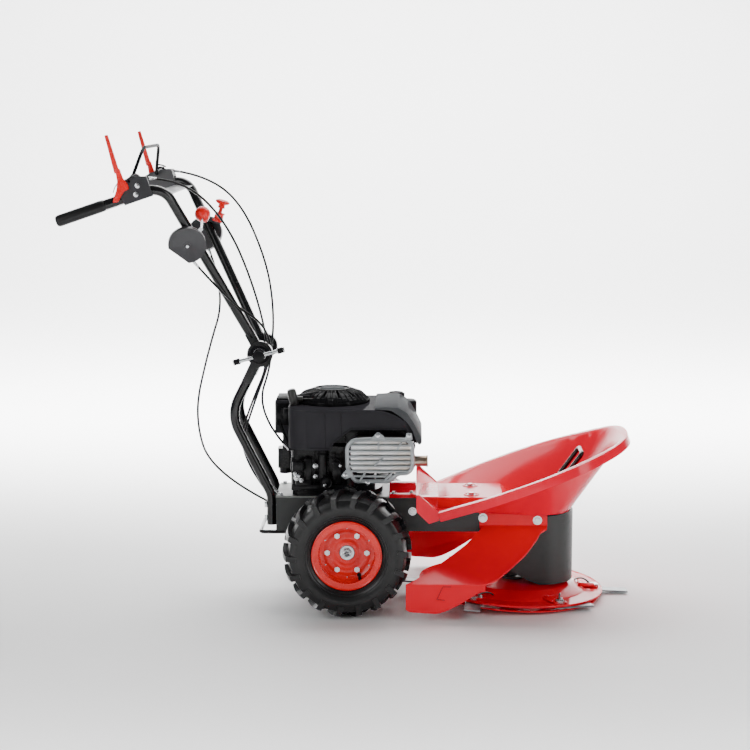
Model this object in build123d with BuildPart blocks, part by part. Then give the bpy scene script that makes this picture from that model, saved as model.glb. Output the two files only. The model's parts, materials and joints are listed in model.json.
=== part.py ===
from build123d import *
import os
from math import atan2, cos, degrees, hypot, radians, sin, tan

# Walk-behind drum mower. +X is forward, +Y is the operator's left, +Z is up.
# The origin is on the ground, below the middle of the overall length. Millimetres.

os.makedirs("parts", exist_ok=True)

# ---------------------------------------------------------------- fits
RUN = 0.05            # radial clearance of a shaft turning in its bore
GAP = 0.3             # free space between faces that move or lie side by side
BOLT_GAP = 0.4        # radial clearance of a fixing bolt in its hole

# ---------------------------------------------------------------- wheels
AXLE_X = -10.0        # axle line, measured from the origin
TYRE_R = 166.0        # outer radius over the lugs
TYRE_HALF = 63.5      # half of the section width
LUG_HEIGHT = 12.0
LUGS = 18             # lugs on each side of a tyre
TYRE_WALL = 8.0
TRACK = 440.0         # between the wheels' middle planes
RIM_SEAT_R = 76.0
RIM_FLANGE_R = 90.0
RIM_HALF = 50.0
RIM_SHEET = 3.0
RIM_DISC_Y = 10.0     # outer face of the rim's disc, outward from the middle plane
RIM_BOLT_CIRCLE_R = 51.0
RIM_BOLTS = 6
HALF_SHAFT_R = 12.5
HUB_R = 64.0
HUB_THICK = 8.0
AXLE_Z = TYRE_R

# ---------------------------------------------------------------- chassis beam
SHEET = 3.0
BEAM_HALF = 88.0
BEAM_TOP = 280.0
BEAM_BOTTOM = 190.0
BEAM_REAR = AXLE_X - 193.0
ENGINE_PLATE = 4.0
ENGINE_PLATE_FRONT = AXLE_X + 106.0
CRANK_HOLE_R = 30.0

# ---------------------------------------------------------------- cutter
SPINDLE_X = AXLE_X + 433.0
DISC_Z = 30.0         # rim of the disc on its axis
DISC_TILT = 3.0       # nose-down set of the spindle, degrees
DISC_R = 247.0
DISC_SHEET = 4.0
DOME_R = 150.0
DOME_HEIGHT = 17.0
RIDGE_R = 195.0
SPINDLE_R = 15.0
SPINDLE_END_R = 12.0
SPINDLE_TOP = 203.0
KNIVES = 6
KNIFE_BOLT_CIRCLE_R = 225.0
KNIFE_FIRST = 2.0     # direction of the foremost knife bolt from +X, degrees
KNIFE_SWING = (0.0, 12.0, -18.0, 0.0, 24.0, 80.0)   # how far each knife has swung at rest
KNIFE_LENGTH = 91.0   # from its bolt to its tip
KNIFE_WIDTH = 42.0
KNIFE_THICK = 4.0
KNIFE_BOLT_R = 8.0
SKID_R = 238.0
SKID_SHEET = 3.0
NOSE_X = SPINDLE_X + 77.0
NOSE_BOTTOM = 47.0

# ---------------------------------------------------------------- cover tub
TUB_WALL = 4.0        # measured level, across the sloping wall
TUB_REAR = AXLE_X + 178.0
CREASE_X = AXLE_X + 233.0
CREASE_Z = 265.0
EAR_TOP_Z = 312.0
RIM_TIP_X = AXLE_X + 727.0
RIM_RISE = 0.36       # rise of the rim for each millimetre forward
RIM_HALF_REAR = 196.0
RIM_HALF_WIDE = 238.0
LIP = 12.0
LIP_SHEET = 2.5
LIP_DEPTH = 24.0
TUB_FLOOR_REAR_Z = 256.0
TUB_FLOOR_FALL = 0.0489
TUB_FLOOR_HALF = 130.0
TUB_NOSE_X = AXLE_X + 590.0
SADDLE_END = AXLE_X + 405.0
SADDLE_FOOT = AXLE_X + 455.0

# ---------------------------------------------------------------- handle
PIVOT_X = AXLE_X - 232.0
PIVOT_Z = 662.0
TUBE_R = 12.5
TUBE_WALL = 2.0
LOWER_TUBE_Y = 74.0
UPPER_TUBE_Y = 66.0
EAR_R = 34.0
EAR_THICK = 8.0
UPPER_EAR_Y = 75.7    # inner face of the upper tube's ear
CLAMP_ROD_R = 6.0
GRIP_END = (AXLE_X - 716.0, 284.0, 1021.0)
BEND = (AXLE_X - 459.0, 252.0, 1109.0)
BEND_R = 55.0
CABLE_R = 2.75

# ---------------------------------------------------------------- engine
ENGINE_X = AXLE_X - 40.0
ENGINE_BASE = BEAM_TOP + ENGINE_PLATE
CRANK_R = 12.5
SHROUD_WALL = 3.0
SHROUD_TOP = 525.0
DOME_X = AXLE_X - 46.0
STARTER_R = 97.0
STARTER_TOP = 560.0
BELT_Z = 215.0        # middle of the drum belt
TRAVEL_BELT_Z = 246.0
GEARBOX_INPUT_X = AXLE_X + 80.0


def tub_floor(x):
    """Height of the tub's underside at x."""
    return TUB_FLOOR_REAR_Z - TUB_FLOOR_FALL * (x - TUB_REAR)


def rim_height(x):
    """Height of the tub's front rim at x."""
    return CREASE_Z + RIM_RISE * (x - CREASE_X)


def along(start, end, distance):
    """Point on the line from start to end, that far from start."""
    run = Vector(*end) - Vector(*start)
    return Vector(*start) + run.normalized() * distance


def bent_tube(points, bends, outer_r, wall=0.0):
    """Tube or rod along straight runs joined by arcs."""
    with BuildPart() as made:
        with BuildLine() as run:
            if len(points) == 2:
                Line(*points)
            else:
                FilletPolyline(*points, radius=bends)
        with BuildSketch(Plane(origin=run.line @ 0, z_dir=run.line % 0)):
            Circle(outer_r)
            if wall:
                Circle(outer_r - wall, mode=Mode.SUBTRACT)
        sweep(path=run.line)
    return made.part


def fixing(origin, outward, shank_r, length, head_r, head=5.0, washer_r=0.0):
    """Hexagon bolt with its head's seat at origin."""
    seat = Plane(origin=origin, z_dir=outward)
    with BuildPart() as made:
        with BuildSketch(seat.offset(-length)):
            Circle(shank_r)
        extrude(amount=length + head / 2)
        with BuildSketch(seat.offset(1.5 if washer_r else 0.0)):
            RegularPolygon(head_r, 6)
        extrude(amount=head)
        if washer_r:
            with BuildSketch(seat):
                Circle(washer_r)
            extrude(amount=1.5)
    return made.part


# ================================================================ wheels
def tyre_face(plane, growth):
    """Half outline of the tyre, its surface moved out by growth, closed to the rim seat."""
    bead = RIM_HALF - RIM_SHEET - GAP + min(growth, 0.0)
    crown = TYRE_R - LUG_HEIGHT
    side = TYRE_HALF - 2.0
    low = RIM_SEAT_R - 6.0
    with BuildSketch(plane) as face:
        with BuildLine():
            Line((0, low), (bead, low))
            Line((bead, low), (bead, RIM_FLANGE_R + 1.0))
            shoulder = (TYRE_HALF - 7.5 + 0.7 * growth, crown - 8.0 + 0.7 * growth)
            ThreePointArc((bead, RIM_FLANGE_R + 1.0), (side + 0.25 * growth, crown - 36.0), shoulder)
            ThreePointArc(shoulder, (31.0 + 0.35 * growth, crown - 1.6 + 0.95 * growth), (0, crown + growth))
            Line((0, crown + growth), (0, low))
        make_face()
    return face.sketch


def wheel_section(side):
    """Section plane through the wheel: local x points outward, local y is the radius."""
    return Plane(origin=(AXLE_X, side * TRACK / 2, AXLE_Z), x_dir=(0, side, 0), z_dir=(side, 0, 0))


WHEEL_AXIS = Axis((AXLE_X, 0, AXLE_Z), (0, 1, 0))


def turned_tyre(side, growth):
    """Solid of revolution inside the tyre's surface moved out by growth."""
    section = wheel_section(side)
    with BuildPart() as made:
        add(tyre_face(section, growth))
        revolve(axis=WHEEL_AXIS)
        mirror(about=Plane(origin=section.origin, z_dir=(0, 1, 0)))
    return made.part


def ring(side, radius, half_width):
    """Plain drum on the wheel's axis."""
    with BuildPart() as made:
        with BuildSketch(Plane(origin=(AXLE_X, side * TRACK / 2, AXLE_Z), z_dir=(0, 1, 0))):
            Circle(radius)
        extrude(amount=half_width, both=True)
    return made.part


def lug_bars(side):
    """Raked bars standing out from the tyre on both sides of its middle."""
    pitch = 360.0 / LUGS
    with BuildPart() as made:
        for half in (-1, 1):
            for i in range(LUGS):
                turn = radians(pitch * (i + 0.25 * half))
                out = Vector(sin(turn), 0, cos(turn))
                base = Plane(origin=Vector(AXLE_X, side * TRACK / 2, AXLE_Z) + out * 128.0,
                             x_dir=(0, half, 0), z_dir=out)
                with BuildSketch(base):
                    with BuildLine():
                        lean = half
                        Polyline((1, -9 * lean), (34, 6 * lean), (70, 14 * lean),
                                 (70, 28 * lean), (30, 21 * lean), (1, 6 * lean), close=True)
                    make_face()
                extrude(amount=TYRE_R - 120.0)
    return made.part


for side, name in ((-1, "right"), (1, "left")):
    section = wheel_section(side)
    carcass = turned_tyre(side, 0.0)
    hollow = turned_tyre(side, -TYRE_WALL)
    lug_shell = turned_tyre(side, LUG_HEIGHT)
    lug_floor = turned_tyre(side, -TYRE_WALL / 2)
    bars = lug_bars(side)
    with BuildPart() as lugs:
        add(lug_shell)
        add(lug_floor, mode=Mode.SUBTRACT)
        add(bars, mode=Mode.INTERSECT)
        add(ring(side, TYRE_R, TYRE_HALF), mode=Mode.INTERSECT)
    with BuildPart() as tyre:
        add(carcass)
        add(lugs.part)
        add(hollow, mode=Mode.SUBTRACT)
        add(ring(side, RIM_SEAT_R + GAP, RIM_HALF), mode=Mode.SUBTRACT)
    tyre.part.label = f"{name}_tyre"
    export_step(tyre.part, f"parts/{name}_tyre.step")

    with BuildPart() as rim:
        with BuildSketch(section):
            with BuildLine():
                Polyline((-RIM_HALF, RIM_FLANGE_R), (-RIM_HALF, RIM_SEAT_R - RIM_SHEET),
                         (-2, RIM_SEAT_R - RIM_SHEET),
                         (-2, 66), (4, 60), (4, 56), (RIM_DISC_Y - RIM_SHEET, 56),
                         (RIM_DISC_Y - RIM_SHEET, 20),
                         (RIM_DISC_Y, 20), (RIM_DISC_Y, 58), (7, 59), (7, 62), (1, 68),
                         (1, RIM_SEAT_R - RIM_SHEET), (RIM_HALF, RIM_SEAT_R - RIM_SHEET),
                         (RIM_HALF, RIM_FLANGE_R),
                         (RIM_HALF - RIM_SHEET, RIM_FLANGE_R), (RIM_HALF - RIM_SHEET, RIM_SEAT_R),
                         (RIM_SHEET - RIM_HALF, RIM_SEAT_R), (RIM_SHEET - RIM_HALF, RIM_FLANGE_R), close=True)
            make_face()
        revolve(axis=WHEEL_AXIS)
        with BuildSketch(Plane(origin=(AXLE_X, side * (TRACK / 2 + RIM_DISC_Y + 1), AXLE_Z), x_dir=(1, 0, 0),
                               z_dir=(0, -side, 0))):
            with PolarLocations(RIM_BOLT_CIRCLE_R, RIM_BOLTS):
                Circle(4.0 + BOLT_GAP)
        extrude(amount=20, mode=Mode.SUBTRACT)
    rim.part.label = f"{name}_rim"
    export_step(rim.part, f"parts/{name}_rim.step")

    hub_face = RIM_DISC_Y - RIM_SHEET
    with BuildPart() as shaft:
        with BuildSketch(section):
            with BuildLine():
                inner = 62.0 - TRACK / 2
                Polyline((inner, 0), (inner, HALF_SHAFT_R), (hub_face - 40, HALF_SHAFT_R),
                         (hub_face - 40, 26),
                         (hub_face - HUB_THICK, 26), (hub_face - HUB_THICK, HUB_R - 9), (hub_face, HUB_R - 9),
                         (hub_face, 19.5), (RIM_DISC_Y + 3, 19.5), (RIM_DISC_Y + 3, 0), close=True)
            make_face()
        revolve(axis=WHEEL_AXIS)
        with BuildSketch(Plane(origin=(AXLE_X, side * (TRACK / 2 + hub_face + 1), AXLE_Z), x_dir=(1, 0, 0),
                               z_dir=(0, -side, 0))):
            with PolarLocations(RIM_BOLT_CIRCLE_R, RIM_BOLTS):
                Circle(4.0 + BOLT_GAP)
        extrude(amount=HUB_THICK + 2, mode=Mode.SUBTRACT)
    shaft.part.label = f"{name}_half_shaft"
    export_step(shaft.part, f"parts/{name}_half_shaft.step")

    bolt_parts = []
    for i in range(RIM_BOLTS):
        turn = radians(i * 360.0 / RIM_BOLTS)
        seat = (AXLE_X + RIM_BOLT_CIRCLE_R * cos(turn), side * (TRACK / 2 + RIM_DISC_Y),
                AXLE_Z + RIM_BOLT_CIRCLE_R * sin(turn))
        bolt_parts.append(fixing(seat, (0, side, 0), 4.0, 13.0, 7.5, 5.5))
    bolt_parts.append(fixing((AXLE_X, side * (TRACK / 2 + RIM_DISC_Y + 3), AXLE_Z), (0, side, 0), 6.0,
                             0.0, 11.0, 8.0, 18.0))
    with BuildPart() as bolts:
        for one in bolt_parts:
            add(one)
    bolts.part.label = f"{name}_wheel_bolts"
    export_step(bolts.part, f"parts/{name}_wheel_bolts.step")


# ================================================================ chassis beam
def beam_crown(extra, low, inset=0.0):
    """Side outline below the beam's top, moved up by extra, down to low."""
    front = NOSE_X + BEAM_HALF + 5.0
    rear = BEAM_REAR + inset
    return [(rear, low), (rear, BEAM_TOP + extra), (SADDLE_END + 0.4 * extra, BEAM_TOP + extra),
            (SADDLE_FOOT + 0.4 * extra, tub_floor(SADDLE_FOOT) - GAP + extra),
            (front, tub_floor(front) - GAP + extra), (front, low)]


def beam_plan(inset, low, high):
    """Beam's plan outline drawn in by inset, as a block."""
    with BuildPart() as made:
        with BuildSketch(Plane.XY.offset(low)):
            with Locations(((BEAM_REAR + NOSE_X + inset) / 2, 0)):
                Rectangle(NOSE_X - BEAM_REAR - inset, 2 * (BEAM_HALF - inset))
            with Locations((NOSE_X, 0)):
                Circle(BEAM_HALF - inset)
        extrude(amount=high - low)
    return made.part


beam_outer = beam_plan(0.0, NOSE_BOTTOM, BEAM_TOP)
beam_inner = beam_plan(SHEET, NOSE_BOTTOM - 20, BEAM_TOP)
BEAM_BOLT = (AXLE_X + 168.0, 244.0)
DEFLECTOR_BOLTS = ((AXLE_X + 354.0, 228.0), (AXLE_X + 498.0, 222.0))
TUB_BOLT = (AXLE_X + 324.0, 58.0)
REAR_BOLTS_Z = (222.0, 258.0)
with BuildPart() as chassis_beam:
    add(beam_outer)
    with BuildSketch(Plane.XZ):
        with BuildLine():
            crown = beam_crown(0.0, NOSE_BOTTOM)
            Polyline((AXLE_X + 345, BEAM_BOTTOM), (BEAM_REAR, BEAM_BOTTOM), *crown[1:],
                     (NOSE_X - 5, NOSE_BOTTOM))
            ThreePointArc((NOSE_X - 5, NOSE_BOTTOM), (AXLE_X + 431, 84), (AXLE_X + 345, BEAM_BOTTOM))
        make_face()
    extrude(amount=BEAM_HALF + 1, both=True, mode=Mode.INTERSECT)
with BuildPart() as beam_hollow:
    add(beam_inner)
    with BuildSketch(Plane.XZ):
        with BuildLine():
            Polyline(*beam_crown(-SHEET, NOSE_BOTTOM - 30, SHEET), close=True)
        make_face()
    extrude(amount=BEAM_HALF, both=True, mode=Mode.INTERSECT)
with chassis_beam:
    add(beam_hollow.part, mode=Mode.SUBTRACT)
    with BuildSketch(Plane.XY.offset(BEAM_TOP + 1)):
        with Locations((ENGINE_X, 0)):
            Circle(CRANK_HOLE_R)
        with Locations((TUB_BOLT[0], TUB_BOLT[1]), (TUB_BOLT[0], -TUB_BOLT[1])):
            Circle(4.0 + BOLT_GAP)
    extrude(amount=-10, mode=Mode.SUBTRACT)
    with BuildSketch(Plane.XZ):
        with Locations(BEAM_BOLT, *DEFLECTOR_BOLTS):
            Circle(4.0 + BOLT_GAP)
    extrude(amount=BEAM_HALF + 1, both=True, mode=Mode.SUBTRACT)
    with BuildSketch(Plane.YZ.offset(BEAM_REAR - 1)):
        for z in REAR_BOLTS_Z:
            with Locations((LOWER_TUBE_Y, z), (-LOWER_TUBE_Y, z)):
                Circle(4.0 + BOLT_GAP)
    extrude(amount=10, mode=Mode.SUBTRACT)
chassis_beam.part.label = "chassis_beam"
export_step(chassis_beam.part, "parts/chassis_beam.step")

with BuildPart() as engine_plate:
    with BuildSketch(Plane.XY.offset(BEAM_TOP)):
        with Locations(((BEAM_REAR + ENGINE_PLATE_FRONT) / 2, 0)):
            Rectangle(ENGINE_PLATE_FRONT - BEAM_REAR, 2 * BEAM_HALF + 4)
        with Locations((ENGINE_X, 0)):
            Circle(CRANK_HOLE_R, mode=Mode.SUBTRACT)
    extrude(amount=ENGINE_PLATE)
engine_plate.part.label = "engine_plate"
export_step(engine_plate.part, "parts/engine_plate.step")

LOOP_R = 5.0
LOOP_OUT = 42.0
LOOP_Y = BEAM_HALF - SHEET - LOOP_R - 1.0
LOOP_Z = BEAM_BOTTOM - LOOP_R
rear_loop_rod = bent_tube([(BEAM_REAR + 45, -LOOP_Y, LOOP_Z), (BEAM_REAR - LOOP_OUT, -LOOP_Y, LOOP_Z),
                           (BEAM_REAR - LOOP_OUT, LOOP_Y, LOOP_Z), (BEAM_REAR + 45, LOOP_Y, LOOP_Z)],
                           12.0, LOOP_R)
with BuildPart() as rear_loop:
    add(rear_loop_rod)
    with BuildSketch(Plane.XY.offset(LOOP_Z)):
        with Locations((BEAM_REAR + 34, BEAM_HALF - 12), (BEAM_REAR + 34, 12 - BEAM_HALF)):
            Rectangle(24, 24)
    extrude(amount=LOOP_R)
rear_loop.part.label = "rear_loop"
export_step(rear_loop.part, "parts/rear_loop.step")

# ================================================================ gearbox and belts
GEARCASE_TOP = 194.0
GEARCASE_BOTTOM = 118.0
GEARCASE_HALF = 58.0
INPUT_SHAFT_R = 9.0
AXLE_TUBE_R = 23.0
with BuildPart() as gearbox_case:
    with BuildSketch(Plane.XY.offset(GEARCASE_BOTTOM)):
        with Locations((AXLE_X + 30, 0)):
            Rectangle(160, 2 * GEARCASE_HALF)
    extrude(amount=GEARCASE_TOP - GEARCASE_BOTTOM)
    fillet(gearbox_case.edges().filter_by(Axis.Z), 14)
    with BuildSketch(Plane.XZ):
        with Locations((AXLE_X, AXLE_Z)):
            Circle(AXLE_TUBE_R)
    extrude(amount=142, both=True)
    with BuildSketch(Plane.XY.offset(GEARCASE_TOP)):
        with Locations((AXLE_X + 8, 0), (GEARBOX_INPUT_X + 8, 0)):
            Rectangle(20, 2 * (BEAM_HALF - SHEET) - 0.4)
    extrude(amount=9)
    with BuildSketch(Plane.XY.offset(GEARCASE_TOP)):
        with Locations((GEARBOX_INPUT_X, 0)):
            Circle(20)
    extrude(amount=12)
    with BuildSketch(Plane.XZ):
        with Locations((AXLE_X, AXLE_Z)):
            Circle(HALF_SHAFT_R + RUN)
    extrude(amount=150, both=True, mode=Mode.SUBTRACT)
    with BuildSketch(Plane.XY.offset(GEARCASE_TOP - 20)):
        with Locations((GEARBOX_INPUT_X, 0)):
            Circle(INPUT_SHAFT_R + RUN)
    extrude(amount=40, mode=Mode.SUBTRACT)
gearbox_case.part.label = "gearbox_case"
export_step(gearbox_case.part, "parts/gearbox_case.step")

BELT_HALF = 5.0       # half of the belt's depth along the pulley axis
BELT_THICK = 8.0
CRANK_PULLEY_R = 38.0      # radius at the groove's bottom
DRUM_PULLEY_R = 52.0
TRAVEL_PULLEY_R = 24.0
GEARBOX_PULLEY_R = 48.0


def pulley(x, z, groove_r, bore_r, half=9.0):
    """Level V pulley with a square-bottomed groove wide enough for its belt."""
    with BuildPart() as made:
        with BuildSketch(Plane(origin=(x, 0, z), x_dir=(1, 0, 0), z_dir=(0, -1, 0))):
            with BuildLine():
                Polyline((bore_r, -half), (groove_r + 12, -half), (groove_r + 12, 1.5 - half),
                         (groove_r, -half + 3.0), (groove_r, half - 3.0), (groove_r + 12, half - 1.5),
                         (groove_r + 12, half), (bore_r, half), close=True)
            make_face()
        revolve(axis=Axis((x, 0, z), (0, 0, 1)))
    return made.part


def belt(x_a, r_a, x_b, r_b, z):
    """Belt in a level plane round two pulleys, clear of their groove bottoms."""
    lean = degrees(atan2(r_b - r_a, x_b - x_a))
    inner_a = r_a + GAP
    inner_b = r_b + GAP

    c, s = sin(radians(lean)), cos(radians(lean))
    with BuildPart() as made:
        for grow, mode in ((BELT_THICK, Mode.ADD), (0.0, Mode.SUBTRACT)):
            a = inner_a + grow
            b = inner_b + grow
            with BuildSketch(Plane.XY.offset(z - BELT_HALF)):
                with BuildLine():
                    Line((x_a - a * c, a * s), (x_b - b * c, b * s))
                    ThreePointArc((x_b - b * c, b * s), (x_b + b, 0), (x_b - b * c, -b * s))
                    Line((x_b - b * c, -b * s), (x_a - a * c, -a * s))
                    ThreePointArc((x_a - a * c, -a * s), (x_a - a, 0), (x_a - a * c, a * s))
                make_face()
            extrude(amount=2 * BELT_HALF, mode=mode)
    return made.part


DRUM_PULLEY_X = SPINDLE_X + (BELT_Z - DISC_Z) * tan(radians(DISC_TILT))
drum_belt = belt(ENGINE_X, CRANK_PULLEY_R, DRUM_PULLEY_X, DRUM_PULLEY_R, BELT_Z)
travel_belt = belt(ENGINE_X, TRAVEL_PULLEY_R, GEARBOX_INPUT_X, GEARBOX_PULLEY_R, TRAVEL_BELT_Z)
with BuildPart() as drive_belts:
    add(drum_belt)
    add(travel_belt)
drive_belts.part.label = "drive_belts"
export_step(drive_belts.part, "parts/drive_belts.step")

crank_lower = pulley(ENGINE_X, BELT_Z, CRANK_PULLEY_R, CRANK_R + RUN)
crank_upper = pulley(ENGINE_X, TRAVEL_BELT_Z, TRAVEL_PULLEY_R, CRANK_R + RUN)
with BuildPart() as engine_pulleys:
    add(crank_lower)
    add(crank_upper)
    with BuildSketch(Plane.XY.offset(BELT_Z + 9)):
        with Locations((ENGINE_X, 0)):
            Circle(20)
            Circle(CRANK_R + RUN, mode=Mode.SUBTRACT)
    extrude(amount=TRAVEL_BELT_Z - BELT_Z - 18)
engine_pulleys.part.label = "engine_pulleys"
export_step(engine_pulleys.part, "parts/engine_pulleys.step")

gearbox_wheel = pulley(GEARBOX_INPUT_X, TRAVEL_BELT_Z, GEARBOX_PULLEY_R, INPUT_SHAFT_R - 1)
with BuildPart() as gearbox_input:
    add(gearbox_wheel)
    with BuildSketch(Plane.XY.offset(GEARCASE_TOP - 16)):
        with Locations((GEARBOX_INPUT_X, 0)):
            Circle(INPUT_SHAFT_R)
    extrude(amount=TRAVEL_BELT_Z + 14 - GEARCASE_TOP + 16)
gearbox_input.part.label = "gearbox_input"
export_step(gearbox_input.part, "parts/gearbox_input.step")

# ================================================================ engine
BLOCK_BORE_R = CRANK_R + RUN
BLOCK_TOP = 416.0
HEAD_REAR = ENGINE_X + 59.0
HEAD_FRONT = ENGINE_X + 165.0
CYLINDER_Z = 385.0
HEAD_HALF = 65.0
OIL_X = AXLE_X - 68.0
OIL_Y = -104.0
OIL_Z = 396.0
with BuildPart() as engine_block:
    with BuildSketch(Plane.XY.offset(ENGINE_BASE)):
        with Locations((ENGINE_X, 0)):
            Circle(128)
        with Locations((ENGINE_X + 20, 0)):
            Rectangle(260, 170, mode=Mode.INTERSECT)
    extrude(amount=14)
    with BuildSketch(Plane.XY.offset(ENGINE_BASE + 14)):
        with Locations((ENGINE_X - 28, 0)):
            RectangleRounded(174, 168, 34)
    extrude(amount=BLOCK_TOP - ENGINE_BASE - 14)
    with BuildSketch(Plane.XY.offset(BLOCK_TOP)):
        with Locations((ENGINE_X, 0)):
            Circle(30)
    extrude(amount=20)
    with BuildSketch(Plane.XY.offset(ENGINE_BASE)):
        with Locations((ENGINE_X, 0)):
            Circle(BLOCK_BORE_R)
    extrude(amount=200, mode=Mode.SUBTRACT)
    with BuildSketch(Plane.XY.offset(ENGINE_BASE + 22)):
        with Locations((ENGINE_X - 28, 0)):
            RectangleRounded(150, 144, 24)
        with Locations((ENGINE_X, 0)):
            Circle(24, mode=Mode.SUBTRACT)
    extrude(amount=100, mode=Mode.SUBTRACT)
    with BuildSketch(Plane.XY.offset(340)):
        with Locations((OIL_X, OIL_Y)):
            Circle(13)
    extrude(amount=OIL_Z - 340)
    with BuildSketch(Plane.XY.offset(340)):
        with Locations((OIL_X, -92)):
            Rectangle(22, 24)
    extrude(amount=22)
    with BuildSketch(Plane.XY.offset(362)):
        with Locations((OIL_X, OIL_Y)):
            Circle(9)
    extrude(amount=60, mode=Mode.SUBTRACT)
engine_block.part.label = "engine_block"
export_step(engine_block.part, "parts/engine_block.step")

with BuildPart() as cylinder_head:
    with BuildSketch(Plane(origin=(HEAD_REAR, 0, CYLINDER_Z), z_dir=(1, 0, 0))):
        Circle(34)
    extrude(amount=HEAD_FRONT - HEAD_REAR)
    for i in range(9):
        with BuildSketch(Plane(origin=(HEAD_REAR + 4 + 10.5 * i, 0, CYLINDER_Z), x_dir=(0, 1, 0),
                               z_dir=(1, 0, 0))):
            RectangleRounded(2 * HEAD_HALF, 92, 14)
        extrude(amount=4)
cylinder_head.part.label = "cylinder_head"
export_step(cylinder_head.part, "parts/cylinder_head.step")

with BuildPart() as crankshaft:
    with BuildSketch(Plane(origin=(ENGINE_X, 0, 0), x_dir=(1, 0, 0), z_dir=(0, -1, 0))):
        with BuildLine():
            Polyline((0, BELT_Z - 14), (CRANK_R, BELT_Z - 14), (CRANK_R, 452), (9, 466), (9, 496),
                     (0, 496), close=True)
        make_face()
    revolve(axis=Axis((ENGINE_X, 0, 0), (0, 0, 1)))
crankshaft.part.label = "crankshaft"
export_step(crankshaft.part, "parts/crankshaft.step")

FLYWHEEL_R = 80.0
with BuildPart() as flywheel:
    with BuildSketch(Plane.XY.offset(468)):
        with Locations((ENGINE_X, 0)):
            Circle(FLYWHEEL_R)
    extrude(amount=16)
    blade_plane = Plane.XY.offset(484)
    with BuildSketch(blade_plane):
        with Locations((ENGINE_X, 0)):
            with PolarLocations(FLYWHEEL_R - 22, 16):
                Rectangle(34, 3, rotation=25)
    extrude(amount=18)
    with BuildSketch(Plane.XY.offset(460)):
        with Locations((ENGINE_X, 0)):
            Circle(9 + RUN)
    extrude(amount=40, mode=Mode.SUBTRACT)
flywheel.part.label = "flywheel"
export_step(flywheel.part, "parts/flywheel.step")

SHROUD_REAR = AXLE_X - 158.0
SHROUD_FRONT = AXLE_X + 187.0
SHROUD_RIGHT = 150.0
SHROUD_LEFT = 100.0
TANK_GAP = 0.0


def shroud_body(inset):
    """Cooling cover's outer form drawn in by inset, open below where inset is not zero."""
    low = 0.0 if inset == 0 else 60.0
    with BuildPart() as made:
        with BuildSketch(Plane.XY.offset(400)):
            with Locations(((SHROUD_REAR + SHROUD_FRONT) / 2, (SHROUD_LEFT - SHROUD_RIGHT) / 2)):
                RectangleRounded(SHROUD_FRONT - SHROUD_REAR - 2 * inset,
                                 SHROUD_LEFT + SHROUD_RIGHT - 2 * inset, 52 - inset)
        extrude(amount=SHROUD_TOP - 400 + 10)
        with BuildSketch(Plane.XZ):
            with BuildLine():
                top = SHROUD_TOP - inset
                Polyline((SHROUD_REAR - 1, 418 - low), (SHROUD_REAR - 1, top), (AXLE_X + 66, top))
                ThreePointArc((AXLE_X + 66, top), (AXLE_X + 142 - 0.6 * inset, SHROUD_TOP - 26 - 0.8 * inset),
                              (SHROUD_FRONT - inset, 440))
                if inset == 0:
                    Polyline((SHROUD_FRONT, 440), (SHROUD_FRONT - 10, 432), (AXLE_X + 152, 472),
                             (AXLE_X + 8, 472),
                             (AXLE_X - 12, 458), (AXLE_X - 36, 438), (AXLE_X - 46, 418),
                             (SHROUD_REAR - 1, 418))
                else:
                    Polyline((SHROUD_FRONT - inset, 440), (SHROUD_FRONT - inset, 418 - low),
                             (SHROUD_REAR - 1, 418 - low))
            make_face()
        extrude(amount=200, both=True, mode=Mode.INTERSECT)
    return made.part


shroud_outer = shroud_body(0.0)
shroud_inner = shroud_body(SHROUD_WALL)
with BuildPart() as engine_shroud:
    add(shroud_outer)
    add(shroud_inner, mode=Mode.SUBTRACT)
    with BuildSketch(Plane.XY.offset(SHROUD_TOP - 10)):
        with Locations((DOME_X, 0)):
            Circle(STARTER_R - 12)
    extrude(amount=20, mode=Mode.SUBTRACT)
engine_shroud.part.label = "engine_shroud"
export_step(engine_shroud.part, "parts/engine_shroud.step")

GRIP_X = AXLE_X - 148.0
GRIP_Y = -70.0
GRIP_HALF = 21.0
GRIP_Z = SHROUD_TOP + GRIP_HALF + 1.5
ROPE_R = 2.0
ROPE_Z = SHROUD_TOP + 16.0
ROPE_END = ENGINE_X + 30.0
with BuildPart() as starter_grip:
    with BuildSketch(Plane.XY.offset(GRIP_Z - GRIP_HALF)):
        with Locations((GRIP_X, GRIP_Y)):
            RectangleRounded(22, 26, 9)
    extrude(amount=2 * GRIP_HALF)
    with BuildSketch(Plane(origin=(GRIP_X, GRIP_Y, ROPE_Z), z_dir=(1, 0, 0))):
        Circle(8)
    extrude(amount=24)
    with BuildSketch(Plane(origin=(GRIP_X, GRIP_Y, ROPE_Z), z_dir=(1, 0, 0))):
        Circle(ROPE_R)
    extrude(amount=ROPE_END - GRIP_X)
starter_grip.part.label = "starter_grip"
export_step(starter_grip.part, "parts/starter_grip.step")

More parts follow.
